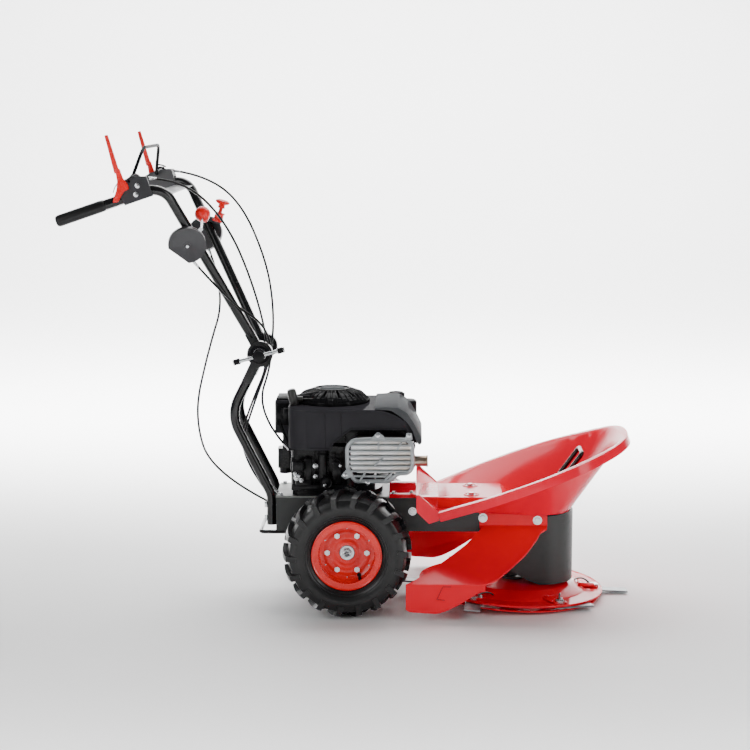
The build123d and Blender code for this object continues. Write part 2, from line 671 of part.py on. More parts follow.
with BuildPart() as starter_housing:
    with BuildSketch(Plane(origin=(DOME_X, 0, SHROUD_TOP), x_dir=(1, 0, 0), z_dir=(0, -1, 0))):
        with BuildLine():
            rise = STARTER_TOP - SHROUD_TOP
            Polyline((0, rise - 4), (0, rise), (36, rise))
            ThreePointArc((36, rise), (74, rise - 10), (STARTER_R, 6))
            Polyline((STARTER_R, 6), (STARTER_R, 0), (STARTER_R - 4, 0), (STARTER_R - 4, 5))
            ThreePointArc((STARTER_R - 4, 5), (72, rise - 14), (36, rise - 4))
            Line((36, rise - 4), (0, rise - 4))
        make_face()
    revolve(axis=Axis((DOME_X, 0, 0), (0, 0, 1)))
    with BuildSketch(Plane.XY.offset(SHROUD_TOP + 2)):
        with Locations((DOME_X, 0)):
            with PolarLocations(62, 24):
                Rectangle(40, 6)
    extrude(amount=60, mode=Mode.SUBTRACT)
    with BuildSketch(Plane(origin=(GRIP_X, GRIP_Y, ROPE_Z), z_dir=(1, 0, 0))):
        Circle(ROPE_R + GAP)
    extrude(amount=ROPE_END + 4 - GRIP_X, mode=Mode.SUBTRACT)
starter_housing.part.label = "starter_housing"
export_step(starter_housing.part, "parts/starter_housing.step")

MUFFLER = ((AXLE_X + 8.0, AXLE_X + 162.0), (-184.0, -104.0), (366.0, 448.0))
PIPE_R = 14.0
PIPE_Y = -122.0
PIPE_Z = 386.0
with BuildPart() as muffler:
    (mx0, mx1), (my0, my1), (mz0, mz1) = MUFFLER
    with BuildSketch(Plane(origin=((mx0 + mx1) / 2, my0, (mz0 + mz1) / 2), x_dir=(1, 0, 0), z_dir=(0, 1, 0))):
        RectangleRounded(mx1 - mx0, mz1 - mz0, 22)
    extrude(amount=my1 - my0)
    with BuildSketch(Plane(origin=(mx1 - 2, PIPE_Y, PIPE_Z), z_dir=(1, 0, 0))):
        Circle(PIPE_R)
    extrude(amount=AXLE_X + 208 - mx1 + 2)
    with BuildSketch(Plane(origin=(mx1 - 20, PIPE_Y, PIPE_Z), z_dir=(1, 0, 0))):
        Circle(PIPE_R - 2)
    extrude(amount=80, mode=Mode.SUBTRACT)
    with BuildSketch(Plane(origin=(mx0 + 30, my1, (mz0 + mz1) / 2 - 10), z_dir=(0, 1, 0))):
        Circle(13)
    extrude(amount=-my1 - HEAD_HALF - GAP)
    with BuildSketch(Plane(origin=((mx0 + mx1) / 2, my0 + SHEET, (mz0 + mz1) / 2), x_dir=(1, 0, 0),
                           z_dir=(0, 1, 0))):
        RectangleRounded(mx1 - mx0 - 2 * SHEET, mz1 - mz0 - 2 * SHEET, 22 - SHEET)
    extrude(amount=my1 - my0 - 2 * SHEET, mode=Mode.SUBTRACT)
muffler.part.label = "muffler"
export_step(muffler.part, "parts/muffler.step")

GUARD_Y = -195.0      # outer face
GUARD_SHEET = 3.0
GUARD_STANDOFF = 11.0
GUARD_X0 = AXLE_X - 9.0
GUARD_X1 = AXLE_X + 177.0
GUARD_Z0 = 338.0
GUARD_Z1 = 461.0


# Rounded rectangle with its lower front corner cut back
GUARD_OUTLINE = [(GUARD_X0 + 26, GUARD_Z0), (GUARD_X1 - 54, GUARD_Z0), (GUARD_X1 - 34, GUARD_Z0 + 16),
                 (GUARD_X1 - 4, GUARD_Z0 + 22), (GUARD_X1, GUARD_Z0 + 34), (GUARD_X1, GUARD_Z1 - 16),
                 (GUARD_X1 - 14, GUARD_Z1), (GUARD_X0 + 20, GUARD_Z1), (GUARD_X0, GUARD_Z1 - 24),
                 (GUARD_X0, GUARD_Z0 + 40)]
GUARD_DEPTH = 22.0
with BuildPart() as muffler_guard:
    with BuildSketch(Plane.XZ.offset(-GUARD_Y)):
        Polygon(*GUARD_OUTLINE, align=None)
    extrude(amount=-GUARD_DEPTH)
    with BuildSketch(Plane.XZ.offset(-GUARD_Y - GUARD_SHEET)):
        Polygon(*GUARD_OUTLINE, align=None)
        offset(amount=-GUARD_SHEET, mode=Mode.REPLACE)
    extrude(amount=-GUARD_DEPTH, mode=Mode.SUBTRACT)
    with BuildSketch(Plane.XZ.offset(-GUARD_Y)):
        for i in range(7):
            z = GUARD_Z0 + 20 + 14.5 * i
            x0 = GUARD_X0 + (24 if i == 0 else 14)
            x1 = GUARD_X1 - (66 if i == 0 else (40 if i == 1 else 14))
            with Locations(((x0 + x1) / 2, z)):
                SlotOverall(x1 - x0, 8)
    extrude(amount=-GUARD_SHEET, mode=Mode.SUBTRACT)
    with BuildSketch(Plane.XZ.offset(-GUARD_Y - GUARD_SHEET)):
        with Locations((GUARD_X0 + 50, GUARD_Z1 - 24), (GUARD_X1 - 40, GUARD_Z1 - 24)):
            Circle(7)
    extrude(amount=-(GUARD_STANDOFF - GUARD_SHEET))
muffler_guard.part.label = "muffler_guard"
export_step(muffler_guard.part, "parts/muffler_guard.step")

# Petrol tank beside the head, with its cap
TANK_CAP = (AXLE_X + 122.0, 132.0)
TANK_LEFT = 168.0
TANK_TOP = 508.0
with BuildPart() as fuel_tank:
    with BuildSketch(Plane.XY.offset(408)):
        with Locations((AXLE_X + 104, (SHROUD_LEFT + TANK_GAP + TANK_LEFT) / 2)):
            RectangleRounded(150, TANK_LEFT - SHROUD_LEFT - TANK_GAP, 26)
    extrude(amount=TANK_TOP - 408)
    fillet(fuel_tank.faces().sort_by(Axis.Z)[-1].edges(), 9)
    with BuildSketch(Plane.XY.offset(TANK_TOP)):
        with Locations(TANK_CAP):
            Circle(16)
    extrude(amount=8)
    with BuildSketch(Plane.XY.offset(412)):
        with Locations((AXLE_X + 104, (SHROUD_LEFT + TANK_GAP + TANK_LEFT) / 2)):
            RectangleRounded(142, TANK_LEFT - SHROUD_LEFT - TANK_GAP - 8, 22)
    extrude(amount=TANK_TOP - 416, mode=Mode.SUBTRACT)
    with BuildSketch(Plane.XY.offset(TANK_TOP - 6)):
        with Locations(TANK_CAP):
            Circle(12)
    extrude(amount=20, mode=Mode.SUBTRACT)
fuel_tank.part.label = "fuel_tank"
export_step(fuel_tank.part, "parts/fuel_tank.step")

with BuildPart() as fuel_cap:
    with BuildSketch(Plane(origin=(*TANK_CAP, 0), x_dir=(1, 0, 0), z_dir=(0, -1, 0))):
        with BuildLine():
            Polyline((0, TANK_TOP + 8 + GAP), (16 + GAP, TANK_TOP + 8 + GAP), (16 + GAP, TANK_TOP + 2),
                     (23, TANK_TOP + 2),
                     (23, TANK_TOP + 16), (20, TANK_TOP + 20), (0, TANK_TOP + 20), close=True)
        make_face()
    revolve(axis=Axis((*TANK_CAP, 0), (0, 0, 1)))
fuel_cap.part.label = "fuel_cap"
export_step(fuel_cap.part, "parts/fuel_cap.step")

FILTER_X0 = AXLE_X - 200.0
with BuildPart() as air_filter_cover:
    with BuildSketch(Plane.XY.offset(440)):
        with Locations(((FILTER_X0 + SHROUD_REAR - GAP) / 2, 40)):
            Rectangle(SHROUD_REAR - GAP - FILTER_X0, 120)
    extrude(amount=88)
    fillet(air_filter_cover.edges().filter_by(Axis.Z).group_by(Axis.X)[0], 16)
    fillet(air_filter_cover.faces().sort_by(Axis.Z)[-1].edges().group_by(Axis.X)[0], 6)
    with BuildSketch(Plane.XY.offset(392)):
        with Locations((AXLE_X - 172, 40)):
            Circle(11)
    extrude(amount=48)
air_filter_cover.part.label = "air_filter_cover"
export_step(air_filter_cover.part, "parts/air_filter_cover.step")

CARB_X = AXLE_X - 172.0
with BuildPart() as carburettor:
    with BuildSketch(Plane.XY.offset(338)):
        with Locations((CARB_X - 4, 40)):
            RectangleRounded(38, 44, 8)
    extrude(amount=54)
    with BuildSketch(Plane.XY.offset(322)):
        with Locations((CARB_X - 4, 40)):
            Circle(16)
    extrude(amount=16)
    with BuildSketch(Plane(origin=(CARB_X + 15, 40, 365), z_dir=(1, 0, 0))):
        Circle(12)
    extrude(amount=ENGINE_X - 28 - 87 - CARB_X - 15)
carburettor.part.label = "carburettor"
export_step(carburettor.part, "parts/carburettor.step")

with BuildPart() as spark_plug:
    with BuildSketch(Plane(origin=(HEAD_FRONT, 0, CYLINDER_Z), z_dir=(1, 0, 0))):
        Circle(8)
    extrude(amount=22)
    with BuildSketch(Plane(origin=(HEAD_FRONT + 6, 0, CYLINDER_Z), z_dir=(1, 0, 0))):
        RegularPolygon(12, 6)
    extrude(amount=8)
    with BuildSketch(Plane(origin=(HEAD_FRONT + 22, 0, CYLINDER_Z), z_dir=(1, 0, 0))):
        Circle(11)
    extrude(amount=26)
spark_plug.part.label = "spark_plug"
export_step(spark_plug.part, "parts/spark_plug.step")

with BuildPart() as oil_cap:
    with BuildSketch(Plane.XY.offset(OIL_Z + GAP)):
        with Locations((OIL_X, OIL_Y)):
            Circle(14)
    extrude(amount=5)
    with BuildSketch(Plane.XY.offset(OIL_Z + 5)):
        with Locations((OIL_X, OIL_Y)):
            RectangleRounded(24, 8, 3)
    extrude(amount=14)
    with BuildSketch(Plane.XY.offset(OIL_Z - 16)):
        with Locations((OIL_X, OIL_Y)):
            Circle(9 - GAP)
    extrude(amount=17)
oil_cap.part.label = "oil_cap"
export_step(oil_cap.part, "parts/oil_cap.step")

# ================================================================ cutter
DISC_FRAME = Plane(origin=(SPINDLE_X, 0, DISC_Z),
                   x_dir=(cos(radians(DISC_TILT)), 0, -sin(radians(DISC_TILT))),
                   z_dir=(sin(radians(DISC_TILT)), 0, cos(radians(DISC_TILT))))
DISC_AXIS = Axis(DISC_FRAME.origin, DISC_FRAME.z_dir)
TURN_PLANE = Plane(origin=DISC_FRAME.origin, x_dir=DISC_FRAME.x_dir,
                   z_dir=(DISC_FRAME.x_dir.cross(DISC_FRAME.z_dir)))


def turned(points):
    """Solid turned about the spindle from an outline of radii and heights above the disc's rim."""
    with BuildPart() as made:
        with BuildSketch(TURN_PLANE):
            with BuildLine():
                Polyline(*points, close=True)
            make_face()
        revolve(axis=DISC_AXIS)
    return made.part


knife_bolt_places = []
for i in range(KNIVES):
    turn = radians(KNIFE_FIRST + i * 360.0 / KNIVES)
    knife_bolt_places.append((KNIFE_BOLT_CIRCLE_R * cos(turn), KNIFE_BOLT_CIRCLE_R * sin(turn)))

dome_under = DOME_HEIGHT - DISC_SHEET
cutting_disc_blank = turned([(SPINDLE_R + RUN, DOME_HEIGHT), (DOME_R, DOME_HEIGHT), (RIDGE_R, 3),
                             (RIDGE_R + 5, 0.5),
                             (DISC_R, 0.5), (DISC_R, 0.5 - DISC_SHEET), (RIDGE_R, 0.5 - DISC_SHEET),
                             (DOME_R, dome_under), (60, dome_under), (60, dome_under - 6),
                             (SPINDLE_R + RUN, dome_under - 6)])
with BuildPart() as cutting_disc:
    add(cutting_disc_blank)
    with BuildSketch(DISC_FRAME.offset(10)):
        with Locations(*knife_bolt_places):
            Circle(KNIFE_BOLT_R + GAP)
    extrude(amount=-30, mode=Mode.SUBTRACT)
cutting_disc.part.label = "cutting_disc"
export_step(cutting_disc.part, "parts/cutting_disc.step")

# Bolts the knives swing on, held by nuts on the disc
KNIFE_TOP = 0.5 - DISC_SHEET - 0.5
with BuildPart() as knife_bolts:
    with BuildSketch(DISC_FRAME.offset(KNIFE_TOP - KNIFE_THICK - 0.5)):
        with Locations(*knife_bolt_places):
            Circle(KNIFE_BOLT_R)
    extrude(amount=16)
    with BuildSketch(DISC_FRAME.offset(0.5)):
        with Locations(*knife_bolt_places):
            RegularPolygon(13, 6)
    extrude(amount=8)
    with BuildSketch(DISC_FRAME.offset(KNIFE_TOP - KNIFE_THICK - 0.5)):
        with Locations(*knife_bolt_places):
            Circle(13)
    extrude(amount=-3)
    with BuildSketch(DISC_FRAME.offset(dome_under - 6)):
        RegularPolygon(25, 6)
        Circle(SPINDLE_R + RUN, mode=Mode.SUBTRACT)
    extrude(amount=-11)
knife_bolts.part.label = "knife_bolts"
export_step(knife_bolts.part, "parts/knife_bolts.step")

for i in range(KNIVES):
    turn = KNIFE_FIRST + i * 360.0 / KNIVES
    pin = DISC_FRAME.from_local_coords(Vector(*knife_bolt_places[i], KNIFE_TOP - KNIFE_THICK))
    heading = radians(turn + KNIFE_SWING[i])
    knife_plane = Plane(origin=pin, x_dir=DISC_FRAME.x_dir * cos(heading) + DISC_FRAME.y_dir * sin(heading),
                        z_dir=DISC_FRAME.z_dir)
    with BuildPart() as knife:
        with BuildSketch(knife_plane):
            with Locations(((KNIFE_LENGTH - 20) / 2, 0)):
                Rectangle(KNIFE_LENGTH + 20, KNIFE_WIDTH)
            Circle(KNIFE_BOLT_R + 0.4, mode=Mode.SUBTRACT)
        extrude(amount=KNIFE_THICK)
        chamfer(knife.edges().group_by(Axis(knife_plane.origin, knife_plane.z_dir))[-1]
                .filter_by(Axis(knife_plane.origin, knife_plane.x_dir)), length=2.5)
    knife.part.label = f"knife_{i + 1}"
    export_step(knife.part, f"parts/knife_{i + 1}.step")

# Spindle: through the disc, its bearings and the drum pulley
SPINDLE_FOOT = -17.0
SHOULDER = DOME_HEIGHT
spindle_body = turned([(0, SPINDLE_FOOT), (0, SPINDLE_TOP), (SPINDLE_END_R, SPINDLE_TOP),
                       (SPINDLE_END_R, 112),
                       (SPINDLE_R, 112), (SPINDLE_R, SHOULDER + 6), (34, SHOULDER + 6), (34, SHOULDER),
                       (SPINDLE_R, SHOULDER), (SPINDLE_R, -7.5), (SPINDLE_END_R, -7.5),
                       (SPINDLE_END_R, SPINDLE_FOOT)])
with BuildPart() as spindle:
    add(spindle_body)
spindle.part.label = "spindle"
export_step(spindle.part, "parts/spindle.step")

PULLEY_HALF = 14.0
pulley_mid = (BELT_Z - DISC_Z) / cos(radians(DISC_TILT))
pulley_r = DRUM_PULLEY_R
drum_pulley_body = turned([(SPINDLE_END_R + RUN, pulley_mid - PULLEY_HALF),
                           (pulley_r + 12, pulley_mid - PULLEY_HALF),
                           (pulley_r + 12, pulley_mid - PULLEY_HALF + 3),
                           (pulley_r - 1, pulley_mid - PULLEY_HALF + 4),
                           (pulley_r - 1, pulley_mid + PULLEY_HALF - 4),
                           (pulley_r + 12, pulley_mid + PULLEY_HALF - 3),
                           (pulley_r + 12, pulley_mid + PULLEY_HALF),
                           (SPINDLE_END_R + RUN, pulley_mid + PULLEY_HALF)])
with BuildPart() as drum_pulley:
    add(drum_pulley_body)
drum_pulley.part.label = "drum_pulley"
export_step(drum_pulley.part, "parts/drum_pulley.step")

# Bearing housing: a tube under the bridge plate that closes the beam's nose
HOUSING_R = 38.0
HOUSING_LOW = 30.0
BRIDGE_TOP = 122.0
housing_body = turned([(SPINDLE_R + RUN, HOUSING_LOW), (HOUSING_R, HOUSING_LOW), (HOUSING_R, BRIDGE_TOP - 22),
                       (HOUSING_R + 16, BRIDGE_TOP - 8), (HOUSING_R + 16, BRIDGE_TOP),
                       (SPINDLE_R + 3, BRIDGE_TOP),
                       (SPINDLE_R + 3, 112 - 3), (SPINDLE_R + RUN, 112 - 3)])
bridge_inner = beam_plan(SHEET + 0.15, DISC_Z + BRIDGE_TOP - 15, DISC_Z + BRIDGE_TOP + 5)
BRIDGE_Z = DISC_Z + BRIDGE_TOP - 3.0
with BuildPart() as bearing_bridge:
    with BuildSketch(Plane.XY.offset(BRIDGE_Z)):
        with Locations((SPINDLE_X + 27, 0)):
            Rectangle(190, 2 * BEAM_HALF)
    extrude(amount=6)
    add(bridge_inner, mode=Mode.INTERSECT)
    with BuildSketch(Plane.XY.offset(BRIDGE_Z - 5)):
        with Locations((SPINDLE_X + BRIDGE_TOP * sin(radians(DISC_TILT)), 0)):
            Circle(SPINDLE_R + 8)
    extrude(amount=20, mode=Mode.SUBTRACT)
with BuildPart() as spindle_housing:
    add(housing_body)
    add(bearing_bridge.part)
spindle_housing.part.label = "spindle_housing"
export_step(spindle_housing.part, "parts/spindle_housing.step")

# Skid dish, free to turn on the spindle's end; its flat underside touches the ground in front
SKID_FLAT = -19.4
SKID_FLAT_R = 200.0
skid_body = turned([(0, SKID_FLAT), (SKID_FLAT_R, SKID_FLAT), (SKID_R, SKID_FLAT + 2.2),
                    (SKID_R, SKID_FLAT + 5.2),
                    (SKID_FLAT_R, SKID_FLAT + SKID_SHEET), (30, SKID_FLAT + SKID_SHEET), (26, -8.5),
                    (SPINDLE_END_R + RUN, -8.5), (SPINDLE_END_R + RUN, SKID_FLAT + 2.2),
                    (0, SKID_FLAT + 2.2)])
with BuildPart() as skid_dish:
    add(skid_body)
skid_dish.part.label = "skid_dish"
export_step(skid_dish.part, "parts/skid_dish.step")
print("lowest of the skid dish", round(skid_dish.part.bounding_box().min.Z, 3))

# ================================================================ cover tub
def bowl(inset, rise=0.0):
    """Tub's form between its floor and its rim, drawn in by inset, its rim moved up by rise."""
    foot = TUB_FLOOR_HALF - inset
    start = CREASE_X - (10.0 if inset > 0 else 0.0)
    floor_plane = Plane(origin=(start, 0, tub_floor(start) + max(rise, 0.0)), x_dir=(1, 0, -TUB_FLOOR_FALL),
                        z_dir=(TUB_FLOOR_FALL, 0, 1))
    rim_plane = Plane(origin=(start, 0, rim_height(start) + rise), x_dir=(1, 0, RIM_RISE),
                      z_dir=(-RIM_RISE, 0, 1))
    rims = ((floor_plane, foot, foot - 12, TUB_NOSE_X - inset, AXLE_X + 470.0, TUB_FLOOR_FALL),
            (rim_plane, RIM_HALF_REAR - inset, RIM_HALF_WIDE - inset, RIM_TIP_X - inset, AXLE_X + 500.0,
             RIM_RISE))
    with BuildPart() as made:
        for plane, half_a, half_b, end, turn_x, slope in rims:
            run = (turn_x - start) * hypot(1, slope)
            reach = (end - start) * hypot(1, slope) - run
            bulge = (half_b - half_a) * 0.8
            with BuildSketch(plane):
                with BuildLine():
                    Line((0, 0), (0, half_a))
                    Spline((0, half_a), (run * 0.4, half_a + bulge), (run, half_b),
                           (run + reach * 0.707, half_b * 0.707), (run + reach, 0),
                           tangents=((run, 2.5 * bulge), (0, -1)))
                    Line((run + reach, 0), (0, 0))
                make_face()
        loft(ruled=True)
        mirror(about=Plane.XZ)
    return made.part


def rim_block(inset, low, high):
    """Block above the rim's plan outline drawn in by inset, between two levels over the rim plane."""
    rim_plane = Plane(origin=(CREASE_X, 0, CREASE_Z), x_dir=(1, 0, RIM_RISE), z_dir=(-RIM_RISE, 0, 1))
    run = (AXLE_X + 500.0 - CREASE_X) * hypot(1, RIM_RISE)
    reach = (RIM_TIP_X - inset - CREASE_X) * hypot(1, RIM_RISE) - run
    half_a = RIM_HALF_REAR - inset
    half_b = RIM_HALF_WIDE - inset
    bulge = (half_b - half_a) * 0.8
    with BuildPart() as made:
        with BuildSketch(rim_plane.offset(low)):
            with BuildLine():
                Line((0, -half_a), (0, half_a))
                Spline((0, half_a), (run * 0.4, half_a + bulge), (run, half_b),
                       (run + reach * 0.707, half_b * 0.707),
                       (run + reach, 0), tangents=((run, 2.5 * bulge), (0, -1)))
                Spline((run + reach, 0), (run + reach * 0.707, -half_b * 0.707), (run, -half_b),
                       (run * 0.4, -half_a - bulge), (0, -half_a), tangents=((0, -1), (-run, 2.5 * bulge)))
            make_face()
        extrude(amount=high - low)
    return made.part


SADDLE_HALF = 92.0
SADDLE_SHEET = 3.0


def saddle(half, extra, rear, drop):
    """Form over the beam's crown, moved up by extra, from rear to its foot and drop below the floor."""
    with BuildPart() as made:
        with BuildSketch(Plane.XZ):
            with BuildLine():
                crown = beam_crown(extra, 0.0)
                Polyline((rear, tub_floor(rear) - drop), (rear, BEAM_TOP + extra), *crown[2:4],
                         (crown[3][0], tub_floor(crown[3][0]) - drop), close=True)
            make_face()
        extrude(amount=half, both=True)
    return made.part


EAR_Y = 200.0
REAR_PANEL = 3.0
with BuildPart() as rear_panels:
    for plane_x, saddle_z, inner_z, outer_z in ((TUB_REAR, BEAM_TOP + 4, 286.0, EAR_TOP_Z - 2),
                                                (CREASE_X + 3, BEAM_TOP + 4, tub_floor(CREASE_X) + 4,
                                                 CREASE_Z)):
        with BuildSketch(Plane(origin=(plane_x, 0, 0), x_dir=(0, 1, 0), z_dir=(1, 0, 0))):
            with BuildLine():
                half = [(SADDLE_HALF, saddle_z), (SADDLE_HALF + 5, inner_z), (EAR_Y, outer_z)]
                under = [(EAR_Y, outer_z - 4), (SADDLE_HALF + 5, inner_z - 4),
                         (SADDLE_HALF - 3.2, saddle_z - 3.4)]
                Polyline(*half, *under, *[(-y, z) for y, z in reversed(under)],
                         *[(-y, z) for y, z in reversed(half)],
                         close=True)
            make_face()
    loft(ruled=True)
with BuildPart() as ears:
    with BuildSketch(Plane.XZ):
        Polygon((CREASE_X + 4, CREASE_Z), (TUB_REAR + 8, EAR_TOP_Z), (TUB_REAR, EAR_TOP_Z),
                (TUB_REAR, EAR_TOP_Z - 44),
                (CREASE_X - 22, CREASE_Z - 29), (CREASE_X + 4, CREASE_Z - 20), align=None)
    extrude(amount=EAR_Y + REAR_PANEL, both=True)
    with BuildSketch(Plane.XZ):
        Rectangle(1200, 1200)
    extrude(amount=EAR_Y - 0.5, both=True, mode=Mode.SUBTRACT)

bowl_outer = bowl(0.0)
bowl_inner = bowl(TUB_WALL, SHEET)
lip_outer = rim_block(-LIP, -LIP_DEPTH, 0.0)
lip_hollow = rim_block(LIP_SHEET - LIP, -LIP_DEPTH - 1, -LIP_SHEET)
saddle_outer = saddle(SADDLE_HALF, GAP + SADDLE_SHEET, TUB_REAR, 0.0)
saddle_inner = saddle(BEAM_HALF + GAP, GAP, TUB_REAR - 1, 20.0)
with BuildPart() as lip_ring:
    add(lip_outer)
    add(lip_hollow, mode=Mode.SUBTRACT)
    with BuildSketch(Plane.YZ.offset(CREASE_X - 1)):
        with Locations((0, CREASE_Z)):
            Rectangle(2 * RIM_HALF_REAR - 8, 80)
    extrude(amount=60, mode=Mode.SUBTRACT)
with BuildPart() as tub:
    add(bowl_outer)
    add(lip_ring.part)
    add(bowl_inner, mode=Mode.SUBTRACT)
    add(rear_panels.part)
    add(ears.part)
    add(saddle_outer)
    add(saddle_inner, mode=Mode.SUBTRACT)
    with BuildSketch(Plane.XY.offset(BEAM_TOP + 10)):
        with Locations((TUB_BOLT[0], TUB_BOLT[1]), (TUB_BOLT[0], -TUB_BOLT[1])):
            Circle(4.0 + BOLT_GAP)
    extrude(amount=-20, mode=Mode.SUBTRACT)
tub.part.label = "tub"
export_step(tub.part, "parts/tub.step")
print("tub solids", len(tub.part.solids()), tub.part.bounding_box())

# Lifting loop standing on the tub's floor
LIFT_R = 6.0
LIFT_HALF = 45.0
LIFT_TOP = (AXLE_X + 617.0, 393.0)
LIFT_FOOT_X = AXLE_X + 512.0
lift_foot_z = tub_floor(LIFT_FOOT_X) + SHEET + LIFT_R
lift_rod = bent_tube([(LIFT_FOOT_X, -LIFT_HALF, lift_foot_z), (LIFT_TOP[0], -LIFT_HALF, LIFT_TOP[1]),
                      (LIFT_TOP[0], LIFT_HALF, LIFT_TOP[1]), (LIFT_FOOT_X, LIFT_HALF, lift_foot_z)], 11.0,
                      LIFT_R)
with BuildPart() as lifting_loop:
    add(lift_rod)
    with BuildSketch(Plane(origin=(LIFT_FOOT_X, 0, tub_floor(LIFT_FOOT_X) + SHEET + 0.3),
                           x_dir=(1, 0, -TUB_FLOOR_FALL),
                           z_dir=(TUB_FLOOR_FALL, 0, 1))):
        with Locations((0, LIFT_HALF), (0, -LIFT_HALF)):
            Rectangle(34, 30)
    extrude(amount=5)
lifting_loop.part.label = "lifting_loop"
export_step(lifting_loop.part, "parts/lifting_loop.step")

# Red guard over the belts, between the engine and the tub
GUARD_REAR = ENGINE_PLATE_FRONT + 1.0
GUARD_FRONT = TUB_REAR - 1.0
with BuildPart() as belt_guard:
    with BuildSketch(Plane(origin=(GUARD_REAR, 0, 0), x_dir=(0, 1, 0), z_dir=(1, 0, 0))):
        with BuildLine():
            top = BEAM_TOP + 10
            Polyline((-BEAM_HALF, BEAM_TOP), (-BEAM_HALF, top), (-46, top))
            ThreePointArc((-46, top), (0, top + 16), (46, top))
            Polyline((46, top), (BEAM_HALF, top), (BEAM_HALF, BEAM_TOP), (-BEAM_HALF, BEAM_TOP))
        make_face()
    extrude(amount=GUARD_FRONT - GUARD_REAR)
    with BuildSketch(Plane(origin=(GUARD_REAR + 3, 0, 0), x_dir=(0, 1, 0), z_dir=(1, 0, 0))):
        with BuildLine():
            inner = BEAM_TOP + 7
            Polyline((3 - BEAM_HALF, BEAM_TOP), (3 - BEAM_HALF, inner), (-46, inner))
            ThreePointArc((-46, inner), (0, inner + 16), (46, inner))
            Polyline((46, inner), (BEAM_HALF - 3, inner), (BEAM_HALF - 3, BEAM_TOP),
                     (3 - BEAM_HALF, BEAM_TOP))
        make_face()
    extrude(amount=GUARD_FRONT - GUARD_REAR - 6, mode=Mode.SUBTRACT)
    with BuildSketch(Plane.YZ.offset(GUARD_FRONT - 10)):
        with Locations((0, BEAM_TOP + 10)):
            Circle(9)
    extrude(amount=20, mode=Mode.SUBTRACT)
belt_guard.part.label = "belt_guard"
export_step(belt_guard.part, "parts/belt_guard.step")

# ================================================================ deflectors
FLANGE_Y = BEAM_HALF + 0.2
DEFLECTOR_BEND = (100.0, 204.0)
DEFLECTOR_EDGE = (300.0, 100.0)
DEFLECTOR_REAR = ((350, 104), (340, 120), (308, 163), (271, 201), (227, 243), (165, 294))
DEFLECTOR_FRONT = ((503, 122), (494, 144), (460, 200), (417, 250), (379, 289))
DEFLECTOR_FOOT = ((130, 29.5), (147, 28.6), (231.5, 23.8), (257, 32), (291, 50), (341, 82), (540, 82))
for side, name in ((-1, "right"), (1, "left")):
    with BuildPart() as deflector:
        with BuildSketch(Plane(origin=(AXLE_X + 130, 0, 0), x_dir=(0, side, 0), z_dir=(side, 0, 0))):
            with BuildLine():
                Polyline((FLANGE_Y + SHEET / 2, BEAM_TOP), (FLANGE_Y + SHEET / 2, DEFLECTOR_BEND[1] + 3),
                         (DEFLECTOR_BEND[0] + 6, DEFLECTOR_BEND[1] - 3), DEFLECTOR_EDGE,
                         (DEFLECTOR_EDGE[0], 10))
            trace(line_width=SHEET)
        extrude(amount=side * 410)
        with BuildSketch(Plane.XY):
            plan = [(345, FLANGE_Y - 1), (524, FLANGE_Y - 1), (522, 106), *DEFLECTOR_FRONT, (341, 304),
                    (147, 304),
                    *reversed(DEFLECTOR_REAR), (345, 100)]
            Polygon(*[(AXLE_X + x, side * y) for x, y in plan], align=None)
        extrude(amount=400, mode=Mode.INTERSECT)
        with BuildSketch(Plane.XZ):
            foot = [(AXLE_X + x, z) for x, z in DEFLECTOR_FOOT]
            top = [(AXLE_X + 540, tub_floor(AXLE_X + 540) - 1.5),
                   (AXLE_X + 340, tub_floor(AXLE_X + 340) - 1.5),
                   (AXLE_X + 130, 240)]
            Polygon(*foot, *top, align=None)
        extrude(amount=400, both=True, mode=Mode.INTERSECT)
        with BuildSketch(Plane.XZ):
            with Locations(*DEFLECTOR_BOLTS):
                Circle(4.0 + BOLT_GAP)
        extrude(amount=120, both=True, mode=Mode.SUBTRACT)
    deflector.part.label = f"{name}_deflector"
    export_step(deflector.part, f"parts/{name}_deflector.step")
    print(name, "deflector solids", len(deflector.part.solids()))

# ================================================================ handle
TUBE_X = BEAM_REAR - TUBE_R - 0.05


def ear_plate(side, inner_y, toward, reach, width):
    """Disc on the pivot with a tongue reaching toward a point in the side view."""
    lean = degrees(atan2(toward[1] - PIVOT_Z, toward[0] - PIVOT_X))
    with BuildPart() as made:
        with BuildSketch(Plane(origin=(PIVOT_X, side * inner_y, PIVOT_Z), x_dir=(1, 0, 0), z_dir=(0, -1, 0))):
            Circle(EAR_R)
            with Locations(Location((reach / 2 * cos(radians(lean)), reach / 2 * sin(radians(lean))), lean)):
                Rectangle(reach, width)
            Circle(CLAMP_ROD_R + 0.1, mode=Mode.SUBTRACT)
        extrude(amount=-side * EAR_THICK)
    return made.part


